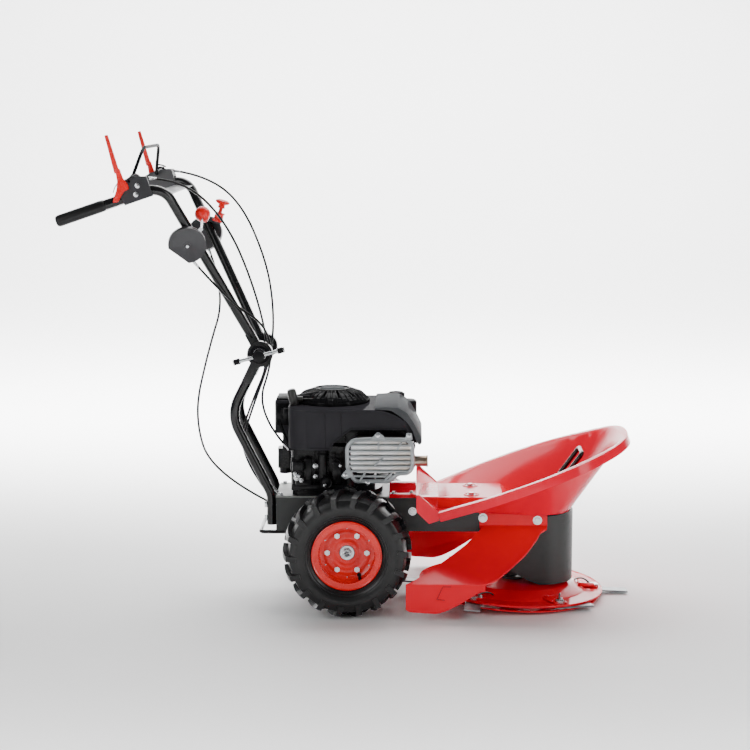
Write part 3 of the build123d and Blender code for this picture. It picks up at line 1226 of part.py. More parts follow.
lower_parts = []
for side in (-1, 1):
    y = side * LOWER_TUBE_Y
    lower_parts.append(bent_tube([(AXLE_X - 250, y, 624), (AXLE_X - 313, y, 500), (TUBE_X, y, 285),
                                  (TUBE_X, y, 205)],
                                 (95.0, 60.0), TUBE_R, TUBE_WALL))
    lower_parts.append(ear_plate(side, LOWER_TUBE_Y + 10, (AXLE_X - 256, 612), 84.0, 26.0))
with BuildPart() as lower_handle_tubes:
    for one in lower_parts:
        add(one)
    with BuildSketch(Plane(origin=(AXLE_X - 265, 0, 595), z_dir=(0, 1, 0))):
        Circle(10)
    extrude(amount=LOWER_TUBE_Y - TUBE_R + 1, both=True)
    with BuildSketch(Plane(origin=(AXLE_X - 265, 0, 595), z_dir=(0, 1, 0))):
        Circle(8)
    extrude(amount=LOWER_TUBE_Y - TUBE_R + 1, both=True, mode=Mode.SUBTRACT)
    with BuildSketch(Plane.YZ.offset(TUBE_X - 20)):
        for z in REAR_BOLTS_Z:
            with Locations((LOWER_TUBE_Y, z), (-LOWER_TUBE_Y, z)):
                Circle(4.0 + BOLT_GAP)
    extrude(amount=40, mode=Mode.SUBTRACT)
lower_handle_tubes.part.label = "lower_handle_tubes"
export_step(lower_handle_tubes.part, "parts/lower_handle_tubes.step")
print("lower tubes solids", len(lower_handle_tubes.part.solids()))

UPPER_FOOT = (AXLE_X - 248.3, UPPER_TUBE_Y, 694.1)


def sided(point, side):
    """Point on the chosen side of the machine."""
    return (point[0], side * point[1], point[2])


upper_parts = []
for side in (-1, 1):
    upper_parts.append(bent_tube([sided(UPPER_FOOT, side), sided(BEND, side), sided(GRIP_END, side)], BEND_R,
                                 TUBE_R, TUBE_WALL))
    upper_parts.append(ear_plate(side, UPPER_EAR_Y, (UPPER_FOOT[0] - 6, UPPER_FOOT[2] + 12), 62.0, 26.0))
with BuildPart() as upper_handle:
    for one in upper_parts:
        add(one)
upper_handle.part.label = "upper_handle"
export_step(upper_handle.part, "parts/upper_handle.step")
print("upper handle solids", len(upper_handle.part.solids()))

GRIP_LENGTH = 128.0
GRIP_R = 16.0
grip_parts = []
for side in (-1, 1):
    end = Vector(*sided(GRIP_END, side))
    back = (Vector(*sided(BEND, side)) - end).normalized()
    with BuildPart() as grip:
        with BuildSketch(Plane(origin=end - back * 6, z_dir=back)):
            Circle(GRIP_R)
        extrude(amount=GRIP_LENGTH)
        fillet(grip.edges().sort_by(Axis(end, back))[0], 5)
        with BuildSketch(Plane(origin=end, z_dir=back)):
            Circle(TUBE_R + RUN)
        extrude(amount=GRIP_LENGTH, mode=Mode.SUBTRACT)
    grip_parts.append(grip.part)
with BuildPart() as handle_grips:
    for one in grip_parts:
        add(one)
handle_grips.part.label = "handle_grips"
export_step(handle_grips.part, "parts/handle_grips.step")

# Clamp bar through the four ears: cross bar, washer, knob and the nut at the far side
CLAMP_LEAN = 15.0
with BuildPart() as clamp_bar:
    with BuildSketch(Plane(origin=(PIVOT_X, -128, PIVOT_Z), x_dir=(1, 0, 0), z_dir=(0, 1, 0))):
        Circle(CLAMP_ROD_R)
    extrude(amount=232)
    for start, end, radius in ((-100.0, -92.2, 17.0), (-116.0, -100.0, 12.0), (92.2, 99.0, 12.0)):
        with BuildSketch(Plane(origin=(PIVOT_X, start, PIVOT_Z), x_dir=(1, 0, 0), z_dir=(0, 1, 0))):
            Circle(radius)
        extrude(amount=end - start)
    bar_dir = Vector(cos(radians(CLAMP_LEAN)), 0, sin(radians(CLAMP_LEAN)))
    bar_mid = Vector(PIVOT_X, -128, PIVOT_Z)
    with BuildSketch(Plane(origin=bar_mid, z_dir=bar_dir)):
        Circle(5)
    extrude(amount=65, both=True)
    for way in (-1, 1):
        with BuildSketch(Plane(origin=bar_mid + bar_dir * (50 * way), z_dir=bar_dir * way)):
            Circle(7.5)
        extrude(amount=18)
clamp_bar.part.label = "clamp_bar"
export_step(clamp_bar.part, "parts/clamp_bar.step")

# ================================================================ controls
GRIP_DIR = [Vector(-257, side * 32, -88).normalized() for side in (-1, 1)]
LEVER_PIVOT = (AXLE_X - 552.0, 262.0, 1102.0)
LEVER_TIP = (AXLE_X - 591.0, 280.0, 1236.0)
BAIL_PIVOT = (AXLE_X - 540.0, 262.0, 1119.0)
BAIL_R = 4.0
BRACKET_MID = (AXLE_X - 522.0, 259.8, 1087.4)
BRACKET_IN = 13.2
BRACKET_SHEET = 3.0
tube_space = {side: bent_tube([sided(UPPER_FOOT, side), sided(BEND, side), sided(GRIP_END, side)], BEND_R,
                              TUBE_R + 0.1) for side in (-1, 1)}
bracket_parts = []
for side in (-1, 1):
    grip_dir = GRIP_DIR[(side + 1) // 2]
    frame = Plane(origin=sided(BRACKET_MID, side), x_dir=grip_dir, z_dir=grip_dir.cross(Vector(0, 0, 1)))
    with BuildPart() as bracket:
        for way in (-1, 1):
            with BuildSketch(frame.offset(way * BRACKET_IN)):
                Polygon((-37, -15), (37, -15), (42, 14), (38, 40), (-12, 42), (-37, 34), align=None)
            extrude(amount=way * BRACKET_SHEET)
        with BuildSketch(frame.offset(-BRACKET_IN)):
            with Locations((0, -TUBE_R - 1.3 - BRACKET_SHEET / 2)):
                Rectangle(74, BRACKET_SHEET)
            with Locations((-37 + BRACKET_SHEET / 2, 24)):
                Rectangle(BRACKET_SHEET, 20)
        extrude(amount=2 * BRACKET_IN)
        with BuildSketch(Plane(origin=sided(LEVER_PIVOT, side), z_dir=(0, 1, 0))):
            Circle(3.5)
        extrude(amount=15.5, both=True)
        with BuildSketch(Plane(origin=sided(BAIL_PIVOT, side), z_dir=(0, 1, 0))):
            Circle(BAIL_R + 0.1)
        extrude(amount=40, both=True, mode=Mode.SUBTRACT)
        add(tube_space[side], mode=Mode.SUBTRACT)
    bracket_parts.append(bracket.part)
    pivot = Vector(*sided(LEVER_PIVOT, side))
    tip = Vector(*sided(LEVER_TIP, side))
    arm_dir = (tip - pivot).normalized()
    arm_frame = Plane(origin=pivot, x_dir=arm_dir, z_dir=arm_dir.cross(Vector(1, 0, 0)))
    with BuildPart() as lever:
        with BuildSketch(arm_frame):
            Polygon((-6, -8), (10, -9), (60, -8), (134, -4.5), (139, 0), (134, 4.5), (60, 8), (10, 9),
                    (-6, 8), align=None)
        extrude(amount=4, both=True)
        with BuildSketch(Plane(origin=pivot, z_dir=(0, 1, 0))):
            Circle(8.5)
        extrude(amount=5, both=True)
        with BuildSketch(Plane(origin=pivot, z_dir=(0, 1, 0))):
            Circle(3.5 + RUN)
        extrude(amount=20, both=True, mode=Mode.SUBTRACT)
    lever_name = "right_lever" if side < 0 else "left_lever"
    lever.part.label = lever_name
    export_step(lever.part, f"parts/{lever_name}.step")

# Plate across both tubes, notched round them, and the plunger's sleeve on the left tube
CROSS_PLATE = (AXLE_X - 465.0, 1085.0, 239.0)
PLUNGER_FOOT = Vector(AXLE_X - 369.0, 190.0, 985.0)
PLUNGER_DIR = Vector(0.26, 0, 0.966).normalized()
PLUNGER_TRAVEL = 14.0
PLUNGER_R = 5.0
SLEEVE = 30.0
with BuildPart() as control_brackets:
    with BuildSketch(Plane.XY.offset(CROSS_PLATE[1])):
        with Locations((CROSS_PLATE[0], 0)):
            Rectangle(50, 2 * CROSS_PLATE[2])
    extrude(amount=SHEET)
    with BuildSketch(Plane(origin=PLUNGER_FOOT, x_dir=(0, 1, 0), z_dir=PLUNGER_DIR)):
        Circle(10)
    extrude(amount=SLEEVE)
    with BuildSketch(Plane(origin=PLUNGER_FOOT, x_dir=(0, 1, 0), z_dir=PLUNGER_DIR)):
        with Locations((2, 14)):
            Rectangle(14, 28)
    extrude(amount=14)
    for side in (-1, 1):
        add(tube_space[side], mode=Mode.SUBTRACT)
    with BuildSketch(Plane(origin=PLUNGER_FOOT - PLUNGER_DIR, z_dir=PLUNGER_DIR)):
        Circle(PLUNGER_R + RUN)
    extrude(amount=SLEEVE + 10, mode=Mode.SUBTRACT)
    for one in bracket_parts:
        add(one)
control_brackets.part.label = "control_brackets"
export_step(control_brackets.part, "parts/control_brackets.step")
print("control bracket solids", [round(one.volume) for one in control_brackets.part.solids()])

BAIL_END = 251.0
BAIL_SHOULDER = 232.0
BAIL_TOP = (AXLE_X - 520.0, 150.0, 1200.0)
bail_leg = (BAIL_PIVOT[0], BAIL_SHOULDER, BAIL_PIVOT[2])
bail_rod = bent_tube([(BAIL_PIVOT[0], -BAIL_END, BAIL_PIVOT[2]), sided(bail_leg, -1), sided(BAIL_TOP, -1),
                      BAIL_TOP,
                      bail_leg, (BAIL_PIVOT[0], BAIL_END, BAIL_PIVOT[2])], (8.0, 22.0, 22.0, 8.0), BAIL_R)
with BuildPart() as dead_man_bar:
    add(bail_rod)
dead_man_bar.part.label = "dead_man_bar"
export_step(dead_man_bar.part, "parts/dead_man_bar.step")

# Control discs flat against the outer sides of the upper tubes, with a lever in the right one
DISC_AT = 0.672       # share of the upper tube's straight run
DISC_BACK = 20.0
CONTROL_R = 48.0
CONTROL_THICK = 15.0
SLOT_LOW = 5.0
SLOT_THICK = 5.0
ARM_LEAN = 22.0       # ball lever's arm above the disc's forward direction
ARM_REACH = 56.0


def control_face(side):
    """Plane against the tube: local x forward, local y up along the tube, normal outward or inward."""
    foot = Vector(*sided(UPPER_FOOT, side))
    up = (Vector(*sided(BEND, side)) - foot).normalized()
    outward = (Vector(0, side, 0) - up * (side * up.Y)).normalized()
    forward = up.cross(outward) * -side
    at = foot + (Vector(*sided(BEND, side)) - foot) * DISC_AT
    return Plane(origin=at + outward * (TUBE_R + 0.1) - forward * DISC_BACK, x_dir=forward,
                 z_dir=forward.cross(up))


def slot_outline(radius, low, high):
    """Wedge from the centre between two directions."""
    return [(0, 0), (radius * cos(radians(low)), radius * sin(radians(low))), (radius * 1.3, 0),
            (radius * cos(radians(high)), radius * sin(radians(high)))]


disc_parts = []
for side in (-1, 1):
    face = control_face(side)
    out = -side
    with BuildPart() as disc:
        with BuildSketch(face):
            Circle(CONTROL_R)
        extrude(amount=out * CONTROL_THICK)
        with BuildSketch(face.offset(out * CONTROL_THICK)):
            Circle(9)
        extrude(amount=out * 2.5)
        if side < 0:
            with BuildSketch(face.offset(SLOT_LOW)):
                Circle(25)
                Polygon(*slot_outline(CONTROL_R + 12, -40, 46), align=None)
                Circle(5, mode=Mode.SUBTRACT)
            extrude(amount=SLOT_THICK, mode=Mode.SUBTRACT)
    disc_parts.append(disc.part)
with BuildPart() as control_discs:
    for one in disc_parts:
        add(one)
control_discs.part.label = "control_discs"
export_step(control_discs.part, "parts/control_discs.step")

BALL = (AXLE_X - 369.0, -165.0, 1032.0)
BALL_R = 17.0
arm_plane = control_face(-1).offset(SLOT_LOW + SLOT_THICK / 2)
lean_x = cos(radians(ARM_LEAN))
lean_y = sin(radians(ARM_LEAN))
arm_end = arm_plane.from_local_coords(Vector(ARM_REACH * lean_x, ARM_REACH * lean_y, 0))
ball_rod = bent_tube([tuple(arm_end), BALL], 0.0, 3.0)
print("ball lever pivot", control_face(-1).origin, "axis", control_face(-1).z_dir)
with BuildPart() as ball_lever:
    with BuildSketch(arm_plane):
        Circle(20)
        with Locations(Location((ARM_REACH / 2 * lean_x, ARM_REACH / 2 * lean_y), ARM_LEAN)):
            Rectangle(ARM_REACH + 4, 9)
        Circle(5 + RUN, mode=Mode.SUBTRACT)
    extrude(amount=2, both=True)
    add(ball_rod)
    with Locations(BALL):
        Sphere(BALL_R)
ball_lever.part.label = "ball_lever"
export_step(ball_lever.part, "parts/ball_lever.step")

STEM = SLEEVE + PLUNGER_TRAVEL
STEM_END = PLUNGER_TRAVEL - 4.0   # pushed right in, the stem still ends short of the tube
with BuildPart() as stop_plunger:
    with BuildSketch(Plane(origin=PLUNGER_FOOT + PLUNGER_DIR * STEM_END, z_dir=PLUNGER_DIR)):
        Circle(PLUNGER_R)
    extrude(amount=STEM + 14 - STEM_END)
    with BuildSketch(Plane(origin=PLUNGER_FOOT + PLUNGER_DIR * (STEM + 6), z_dir=PLUNGER_DIR)):
        Circle(8)
    extrude(amount=10)
    with BuildSketch(Plane(origin=PLUNGER_FOOT + PLUNGER_DIR * (STEM + 12), z_dir=PLUNGER_DIR)):
        Circle(13)
    extrude(amount=9)
stop_plunger.part.label = "stop_plunger"
export_step(stop_plunger.part, "parts/stop_plunger.step")

# ================================================================ cables
def disc_foot(side):
    """Point just below a control disc, measured from the axle."""
    at = control_face(side).from_local_coords(Vector(0, -CONTROL_R - 1, -side * CONTROL_THICK / 2))
    return (at.X - AXLE_X, at.Y, at.Z)


CABLE_ROUTES = (
    (disc_foot(-1), (-300, -150, 800), (-222, -66, 742), (-198, -54, 650), (-250, -50, 500),
     (-159, -56, 402)),
    ((-494.2, -256.3, 1126.5), (-415, -196, 1122), (-312, -112, 1010), (-240, -74, 820), (-208, -40, 645),
     (-262, -38, 520), (-302, -42, 395), (-190, -52, 286.4)),
    ((-494.2, 256.3, 1126.5), (-410, 206, 1118), (-303, 156, 1051), (-228, 102, 893), (-203, 40, 760),
     (-208, -20, 645), (-262, -14, 500), (-302, -14, 375), (-195.4, -26, 250)),
    (disc_foot(1), (-343, 150, 800), (-390, 104, 640), (-425, 58, 470), (-370, 14, 320), (-195.6, 8, 236)),
)
cable_parts = []
for route in CABLE_ROUTES:
    points = [Vector(AXLE_X + x, y, z) for x, y, z in route]
    radii = []
    for before, corner, after in zip(points, points[1:], points[2:]):
        into = corner - before
        out = after - corner
        half_turn = radians(into.get_angle(out)) / 2
        radii.append(0.45 * min(into.length, out.length) / tan(half_turn))
    print("cable radii", [round(r) for r in radii])
    cable_parts.append(bent_tube(points, radii, CABLE_R))
with BuildPart() as control_cables:
    for one in cable_parts:
        add(one)
control_cables.part.label = "control_cables"
export_step(control_cables.part, "parts/control_cables.step")
print("cables", len(control_cables.part.solids()), round(control_cables.part.volume))

# ================================================================ frame bolts
bolt_parts = []
for side in (-1, 1):
    bolt_parts.append(fixing((BEAM_BOLT[0], side * BEAM_HALF, BEAM_BOLT[1]), (0, side, 0), 4.0, 12.0, 7.5,
                             5.0, 11.0))
    for x, z in DEFLECTOR_BOLTS:
        bolt_parts.append(fixing((x, side * (FLANGE_Y + SHEET), z), (0, side, 0), 4.0, 16.0, 7.5, 5.0, 12.0))
    bolt_parts.append(fixing((TUB_BOLT[0], side * TUB_BOLT[1], BEAM_TOP + GAP + SADDLE_SHEET), (0, 0, 1),
                             4.0, 16.0,
                             7.5, 5.0, 11.0))
    for z in REAR_BOLTS_Z:
        bolt_parts.append(fixing((TUBE_X - TUBE_R, side * LOWER_TUBE_Y, z), (-1, 0, 0), 4.0,
                                 2 * TUBE_R + 12, 7.5, 6.0))
with BuildPart() as frame_bolts:
    for one in bolt_parts:
        add(one)
frame_bolts.part.label = "frame_bolts"
export_step(frame_bolts.part, "parts/frame_bolts.step")
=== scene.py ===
import json
from math import cos, pi, radians, sin

import bmesh
import bpy
from bpy.props import FloatProperty, FloatVectorProperty, IntProperty, PointerProperty
from mathutils import Matrix, Vector
from mathutils.bvhtree import BVHTree

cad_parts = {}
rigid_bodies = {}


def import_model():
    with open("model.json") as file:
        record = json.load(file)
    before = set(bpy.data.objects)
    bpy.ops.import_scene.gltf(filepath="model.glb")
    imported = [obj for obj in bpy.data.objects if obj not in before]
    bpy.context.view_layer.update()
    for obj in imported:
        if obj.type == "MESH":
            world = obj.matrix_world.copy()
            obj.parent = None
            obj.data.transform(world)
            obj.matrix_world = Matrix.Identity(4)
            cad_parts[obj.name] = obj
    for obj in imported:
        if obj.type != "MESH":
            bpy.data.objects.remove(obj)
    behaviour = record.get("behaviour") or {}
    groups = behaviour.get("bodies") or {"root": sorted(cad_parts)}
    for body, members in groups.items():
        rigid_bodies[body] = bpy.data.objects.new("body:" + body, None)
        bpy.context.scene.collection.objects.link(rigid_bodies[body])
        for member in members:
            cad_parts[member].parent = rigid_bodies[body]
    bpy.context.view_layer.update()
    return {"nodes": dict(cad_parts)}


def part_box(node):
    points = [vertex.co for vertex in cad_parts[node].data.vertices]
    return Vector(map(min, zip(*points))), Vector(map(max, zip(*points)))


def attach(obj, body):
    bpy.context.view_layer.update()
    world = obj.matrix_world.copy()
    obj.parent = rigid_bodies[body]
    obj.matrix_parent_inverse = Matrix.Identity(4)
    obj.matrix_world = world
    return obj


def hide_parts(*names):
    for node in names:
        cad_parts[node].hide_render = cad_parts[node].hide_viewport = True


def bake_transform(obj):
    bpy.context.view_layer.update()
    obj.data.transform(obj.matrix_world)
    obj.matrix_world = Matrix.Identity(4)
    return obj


bl_info = {
    "name": "Brush mower finishes",
    "version": (1, 0, 0),
    "blender": (4, 5, 0),
    "location": "3D View > Sidebar > Mower",
    "description": "Detailed pieces and finishes for a walk-behind drum brush mower",
    "category": "Object",
}

for leftover in list(bpy.data.objects):
    bpy.data.objects.remove(leftover)
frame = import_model()
NODES = frame["nodes"]
MM = 0.001
WELD = 0.004                      # vertices nearer than this, in millimetres, become one
SOFT_TURN = radians(35.0)         # edges that turn by more than this are rounded in the mesh
BEVEL_TURN = radians(40.0)        # and by more than this, by a Bevel modifier
ORIGIN = (0, 0, 0)
FRONT, UP, RIGHT = (1, 0, 0), (0, 0, 1), (0, -1, 0)
SIDES = (("right", -1), ("left", 1))


def middle(node):
    """Middle of a node's box, in millimetres."""
    low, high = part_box(node)
    return (low + high) * 500.0


def corners(node):
    """Lowest and highest corner of a node's box, in millimetres."""
    low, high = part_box(node)
    return low * 1000.0, high * 1000.0


# ---------------------------------------------------------------- settings
def colour_setting(name, description, default):
    return FloatVectorProperty(name=name, description=description, default=default,
                               subtype="COLOR", size=3, min=0.0, max=1.0)


def length_setting(name, description, default, low, high, precision=4):
    return FloatProperty(name=name, description=description, default=default, min=low, max=high,
                         unit="LENGTH", precision=precision)


def power_setting(name, description, default, high=2000.0):
    return FloatProperty(name=name, description=description, default=default, min=0.0, max=high)


class MowerPaints(bpy.types.PropertyGroup):
    cover_red: colour_setting("Cover red", "Gloss paint of the scoop cover", (0.86, 0.0003, 0.028))
    sheet_red: colour_setting("Sheet red", "Gloss paint of the deflectors and the cutting disc",
                              (0.86, 0.0004, 0.018))
    beam_grey: colour_setting("Beam grey", "Powder coat of the chassis beam and the cutter hood",
                              (0.022, 0.024, 0.024))
    shroud_grey: colour_setting("Shroud grey", "Moulded plastic of the engine's shroud",
                                (0.026, 0.0252, 0.029))
    trim_grey: colour_setting("Trim grey", "Lighter band along the shroud's sloping edge",
                              (0.070, 0.074, 0.078))
    guard_grey: colour_setting("Guard grey", "Silver paint of the muffler's guard", (0.30, 0.32, 0.33))
    lever_red: colour_setting("Lever red", "Plastic of the levers, the ball and the stop knob",
                              (0.78, 0.008, 0.006))
    tube_black: colour_setting("Tube black", "Paint of the handlebar tubes", (0.004, 0.004, 0.0045))
    rubber_black: colour_setting("Rubber black", "Tyres, grips and cable jackets", (0.0035, 0.0035, 0.004))


class MowerSizes(bpy.types.PropertyGroup):
    cable_radius: length_setting("Cable radius", "Outside radius of a control cable's jacket",
                                 0.0031, 0.001, 0.006, 5)
    edge_round: length_setting("Sheet edge", "Rounding of the cover's and deflectors' sheet edges",
                               0.0008, 0.0, 0.003)
    dome_ribs: IntProperty(
        name="Dome ribs", description="Ribs round the starter dome's crown", default=36, min=12, max=72)
    guard_bar: length_setting("Guard bar", "Width of the outer bar of the muffler's guard",
                              0.011, 0.006, 0.02)


class MowerStage(bpy.types.PropertyGroup):
    floor_size: length_setting("Floor size", "Side of the pale floor", 14.0, 4.0, 40.0, 2)
    key_power: power_setting("Overhead light", "Power of the large soft light overhead", 120.0)
    fill_power: power_setting("Front light", "Power of the soft light at the front left", 56.0)
    backdrop_power: power_setting("Backdrop light", "Power of the light on the backdrop", 640.0, 4000.0)
    focal_length: FloatProperty(
        name="Focal length", description="Camera lens in millimetres", default=90.72, min=20.0, max=300.0)


# ---------------------------------------------------------------- shapes, in millimetres
def basis(origin, z_dir, x_dir=None):
    """Place whose Z runs along z_dir and whose X lies as near x_dir as it can."""
    z = Vector(z_dir).normalized()
    x = Vector(x_dir) if x_dir is not None else z.orthogonal()
    x = (x - z * x.dot(z)).normalized()
    place = Matrix((x, z.cross(x), z)).transposed().to_4x4()
    place.translation = Vector(origin)
    return place


def spoke(degrees):
    """Unit arm in the plane of a wheel."""
    return Vector((cos(radians(degrees)), 0, sin(radians(degrees))))


def ray(turn):
    """Unit arm in the level plane."""
    return Vector((cos(turn), sin(turn), 0))


def round_turns(count):
    """Angles of count even steps round a full turn."""
    return [2 * pi * i / count for i in range(count)]


def verts_of(made):
    """Vertices among the geometry that an operator has made."""
    return [g for g in made["geom"] if isinstance(g, bmesh.types.BMVert)]


def round_edges(bm, edges, width, segments):
    """Rounds the given edges."""
    bmesh.ops.bevel(bm, geom=edges, offset=width, segments=segments, profile=0.5, affect="EDGES",
                    material=-1, clamp_overlap=True)


def join_facets(bm, degrees=0.5):
    """Joins facets that are flat to each other, because a bevel folds over the slivers among them."""
    bmesh.ops.dissolve_limit(bm, angle_limit=radians(degrees), verts=bm.verts, edges=bm.edges)


def soften(bm, verts, width, segments=2):
    """Rounds the edges among verts that turn sharply."""
    if width <= 0:
        return
    chosen = set(verts)
    edges = [e for e in bm.edges if len(e.link_faces) == 2 and e.verts[0] in chosen
             and e.verts[1] in chosen and e.calc_face_angle(0.0) > SOFT_TURN]
    if edges:
        round_edges(bm, edges, width, segments)


def drum(bm, start, end, r1, r2=None, sides=28, edge=0.0):
    """Capped round bar, or cone, from start to end."""
    a, b = Vector(start), Vector(end)
    made = bmesh.ops.create_cone(
        bm, cap_ends=True, segments=sides, radius1=r1, radius2=r1 if r2 is None else r2,
        depth=(b - a).length, matrix=basis((a + b) / 2, b - a))["verts"]
    soften(bm, made, edge)


def block(bm, centre, size, edge=1.0, turn=None):
    """Box with rounded edges."""
    place = Matrix.Translation(Vector(centre)) @ (turn if turn is not None else Matrix.Identity(4))
    made = bmesh.ops.create_cube(bm, size=1.0, matrix=place @ Matrix.Diagonal((*size, 1.0)))["verts"]
    soften(bm, made, edge)


def plate(bm, outline, place, depth, edge=0.0, segments=2):
    """Sheet with the given outline in the plane of place, carried depth along its Z."""
    low = [bm.verts.new(place @ Vector((x, y, 0.0))) for x, y in outline]
    high = verts_of(bmesh.ops.extrude_face_region(bm, geom=[bm.faces.new(low)]))
    bmesh.ops.translate(bm, vec=place.to_3x3() @ Vector((0.0, 0.0, depth)), verts=high)
    soften(bm, low + high, edge, segments)


def side_plate(bm, outline, y, depth, edge=0.0, segments=2):
    """Sheet standing along the machine: outline in X and Z, from y towards the right by depth."""
    plate(bm, outline, basis((0, y, 0), RIGHT, FRONT), depth, edge, segments)


def rounded(points, radius, steps=4, closed=True):
    """Points of a path with every corner eased over radius, which may be one number or a list."""
    out = []
    count = len(points)
    for i, point in enumerate(points):
        here = Vector(point)
        ease = radius[i] if isinstance(radius, (list, tuple)) else radius
        if ease <= 0 or (not closed and i in (0, count - 1)):
            out.append(tuple(here))
            continue
        into = Vector(points[i - 1]) - here
        away = Vector(points[(i + 1) % count]) - here
        first = here + into.normalized() * min(ease, into.length * 0.49)
        last = here + away.normalized() * min(ease, away.length * 0.49)
        for k in range(steps + 1):
            t = k / steps
            out.append(tuple(first * (1 - t) ** 2 + here * 2 * t * (1 - t) + last * t ** 2))
    return out


def wire_row(bm, points, closed=False):
    """Vertices at points, and the edges that join them in a row."""
    verts = [bm.verts.new(point) for point in points]
    pairs = list(zip(verts, verts[1:]))
    if closed:
        pairs.append((verts[-1], verts[0]))
    return verts, [bm.edges.new(pair) for pair in pairs]


def drawn_sheet(bm, points, move, closed=False):
    """Sheet between a row of points and the same row carried by move; gives its far vertices."""
    far = verts_of(bmesh.ops.extrude_edge_only(bm, edges=wire_row(bm, points, closed)[1]))
    bmesh.ops.translate(bm, vec=move, verts=far)
    return far


def turned(bm, outline, origin, axis, steps=48, closed=False):
    """Outline of (distance along the axis, radius) pairs turned once round the axis."""
    place = basis(origin, axis)
    verts, edges = wire_row(bm, [place @ Vector((r, 0.0, a)) for a, r in outline], closed)
    bmesh.ops.spin(bm, geom=verts + edges, cent=Vector(origin), axis=Vector(axis).normalized(),
                   angle=2 * pi, steps=steps, use_merge=True)


def round_bar(points, radius, resolution, kind):
    """Curve with a round section and closed ends, and its spline."""
    curve = bpy.data.curves.new("bar", "CURVE")
    curve.dimensions = "3D"
    curve.bevel_depth = radius
    curve.bevel_resolution = resolution
    curve.use_fill_caps = True
    spline = curve.splines.new(kind)
    spline.points.add(len(points) - 1)
    for spot, at in zip(spline.points, points):
        spot.co = (*at, 1.0)
    return curve, spline


def mesh_of(curve):
    """Mesh of a curve, which is removed."""
    holder = bpy.data.objects.new("bar", curve)
    mesh = bpy.data.meshes.new_from_object(holder)
    bpy.data.objects.remove(holder)
    bpy.data.curves.remove(curve)
    return mesh


def tube(bm, points, radius, corner=8.0, sides=12, closed=False, steps=5):
    """Round bar along a path with eased corners."""
    path = rounded(points, corner, steps, closed)
    curve, spline = round_bar(path, radius, max(1, sides // 4 - 1), "POLY")
    spline.use_cyclic_u = closed
    mesh = mesh_of(curve)
    bm.from_mesh(mesh)
    bpy.data.meshes.remove(mesh)


def bolt(bm, seat, outward, head=5.0, height=4.5, washer=0.0):
    """Hexagon head standing on seat, with a washer under it where one is given."""
    out = Vector(outward).normalized()
    at = Vector(seat)
    if washer:
        drum(bm, at, at + out * 1.2, washer, edge=0.3)
        at = at + out * 1.2
    drum(bm, at, at + out * height, head, sides=6, edge=0.6)
    drum(bm, at + out * height, at + out * (height + 1.0), head * 0.52, sides=20, edge=0.3)


def merged(node):
    """Welded copy of a node's mesh, in millimetres."""
    bm = bmesh.new()
    bm.from_mesh(NODES[node].data)
    bmesh.ops.remove_doubles(bm, verts=bm.verts, dist=0.000002)
    bm.transform(Matrix.Scale(1000.0, 4))
    return bm


def piece(name, bm, kind, body, replaces=(), sharp=40.0):
    """Finished object: doubles merged, faces outward, smooth between its sharp edges."""
    bmesh.ops.remove_doubles(bm, verts=bm.verts, dist=WELD)
    bmesh.ops.recalc_face_normals(bm, faces=bm.faces)
    bm.transform(Matrix.Scale(MM, 4))
    mesh = bpy.data.meshes.new(name)
    bm.to_mesh(mesh)
    bm.free()
    mesh.shade_smooth()
    mesh.set_sharp_from_angle(angle=radians(sharp))
    mesh.materials.append(finish_of(kind))
    made = bpy.data.objects.new(name, mesh)
    bpy.context.scene.collection.objects.link(made)
    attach(made, body)
    if replaces:
        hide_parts(*replaces)
    return made


def eased(made, width, segments=2):
    """Bevel modifier on the sharp edges of a finished piece."""
    bevel = made.modifiers.new("Edges", "BEVEL")
    bevel.width = width
    bevel.segments = segments
    bevel.limit_method = "ANGLE"
    bevel.angle_limit = BEVEL_TURN


# ---------------------------------------------------------------- finishes
FINE_PER_PATCH = 14.0             # how much finer the specks are than the patches
COAT_ROUGHNESS = 0.06


def wire(tree, source, target):
    tree.links.new(source, target)


def shader_node(tree, kind, values=None, feeds=None, **options):
    """New node with its options, the values of its inputs and the sockets that feed it."""
    made = tree.nodes.new(f"ShaderNode{kind}")
    for option, value in options.items():
        setattr(made, option, value)
    for socket, value in (values or {}).items():
        made.inputs[socket].default_value = value
    for socket, source in (feeds or {}).items():
        wire(tree, source, made.inputs[socket])
    return made


def group_shell(name, *outputs):
    """New node group: its tree, the place and scale that feed it, and the node its outputs end at."""
    tree = bpy.data.node_groups.new(name, "ShaderNodeTree")
    tree.interface.new_socket(name="Vector", in_out="INPUT", socket_type="NodeSocketVector")
    size = tree.interface.new_socket(name="Scale", in_out="INPUT", socket_type="NodeSocketFloat")
    size.default_value = 10.0
    for label in outputs:
        tree.interface.new_socket(name=label, in_out="OUTPUT", socket_type="NodeSocketFloat")
    start, end = tree.nodes.new("NodeGroupInput"), tree.nodes.new("NodeGroupOutput")
    return tree, {"Vector": start.outputs["Vector"], "Scale": start.outputs["Scale"]}, end


def mottle_group():
    """Soft patches and finer specks, each from 0 to 1."""
    tree, given, end = group_shell("Mottle", "Patches", "Specks")
    broad = shader_node(tree, "TexNoise", {"Detail": 4.0, "Roughness": 0.55}, given)
    spread = shader_node(tree, "MapRange", {"From Min": 0.32, "From Max": 0.68},
                         {"Value": broad.outputs["Fac"]})
    times = shader_node(tree, "Math", {1: FINE_PER_PATCH}, {0: given["Scale"]}, operation="MULTIPLY")
    fine = shader_node(tree, "TexNoise", {"Detail": 2.0},
                       {"Vector": given["Vector"], "Scale": times.outputs[0]})
    cut = shader_node(tree, "MapRange", {"From Min": 0.55, "From Max": 0.72}, {"Value": fine.outputs["Fac"]})
    wire(tree, spread.outputs["Result"], end.inputs["Patches"])
    wire(tree, cut.outputs["Result"], end.inputs["Specks"])
    return tree


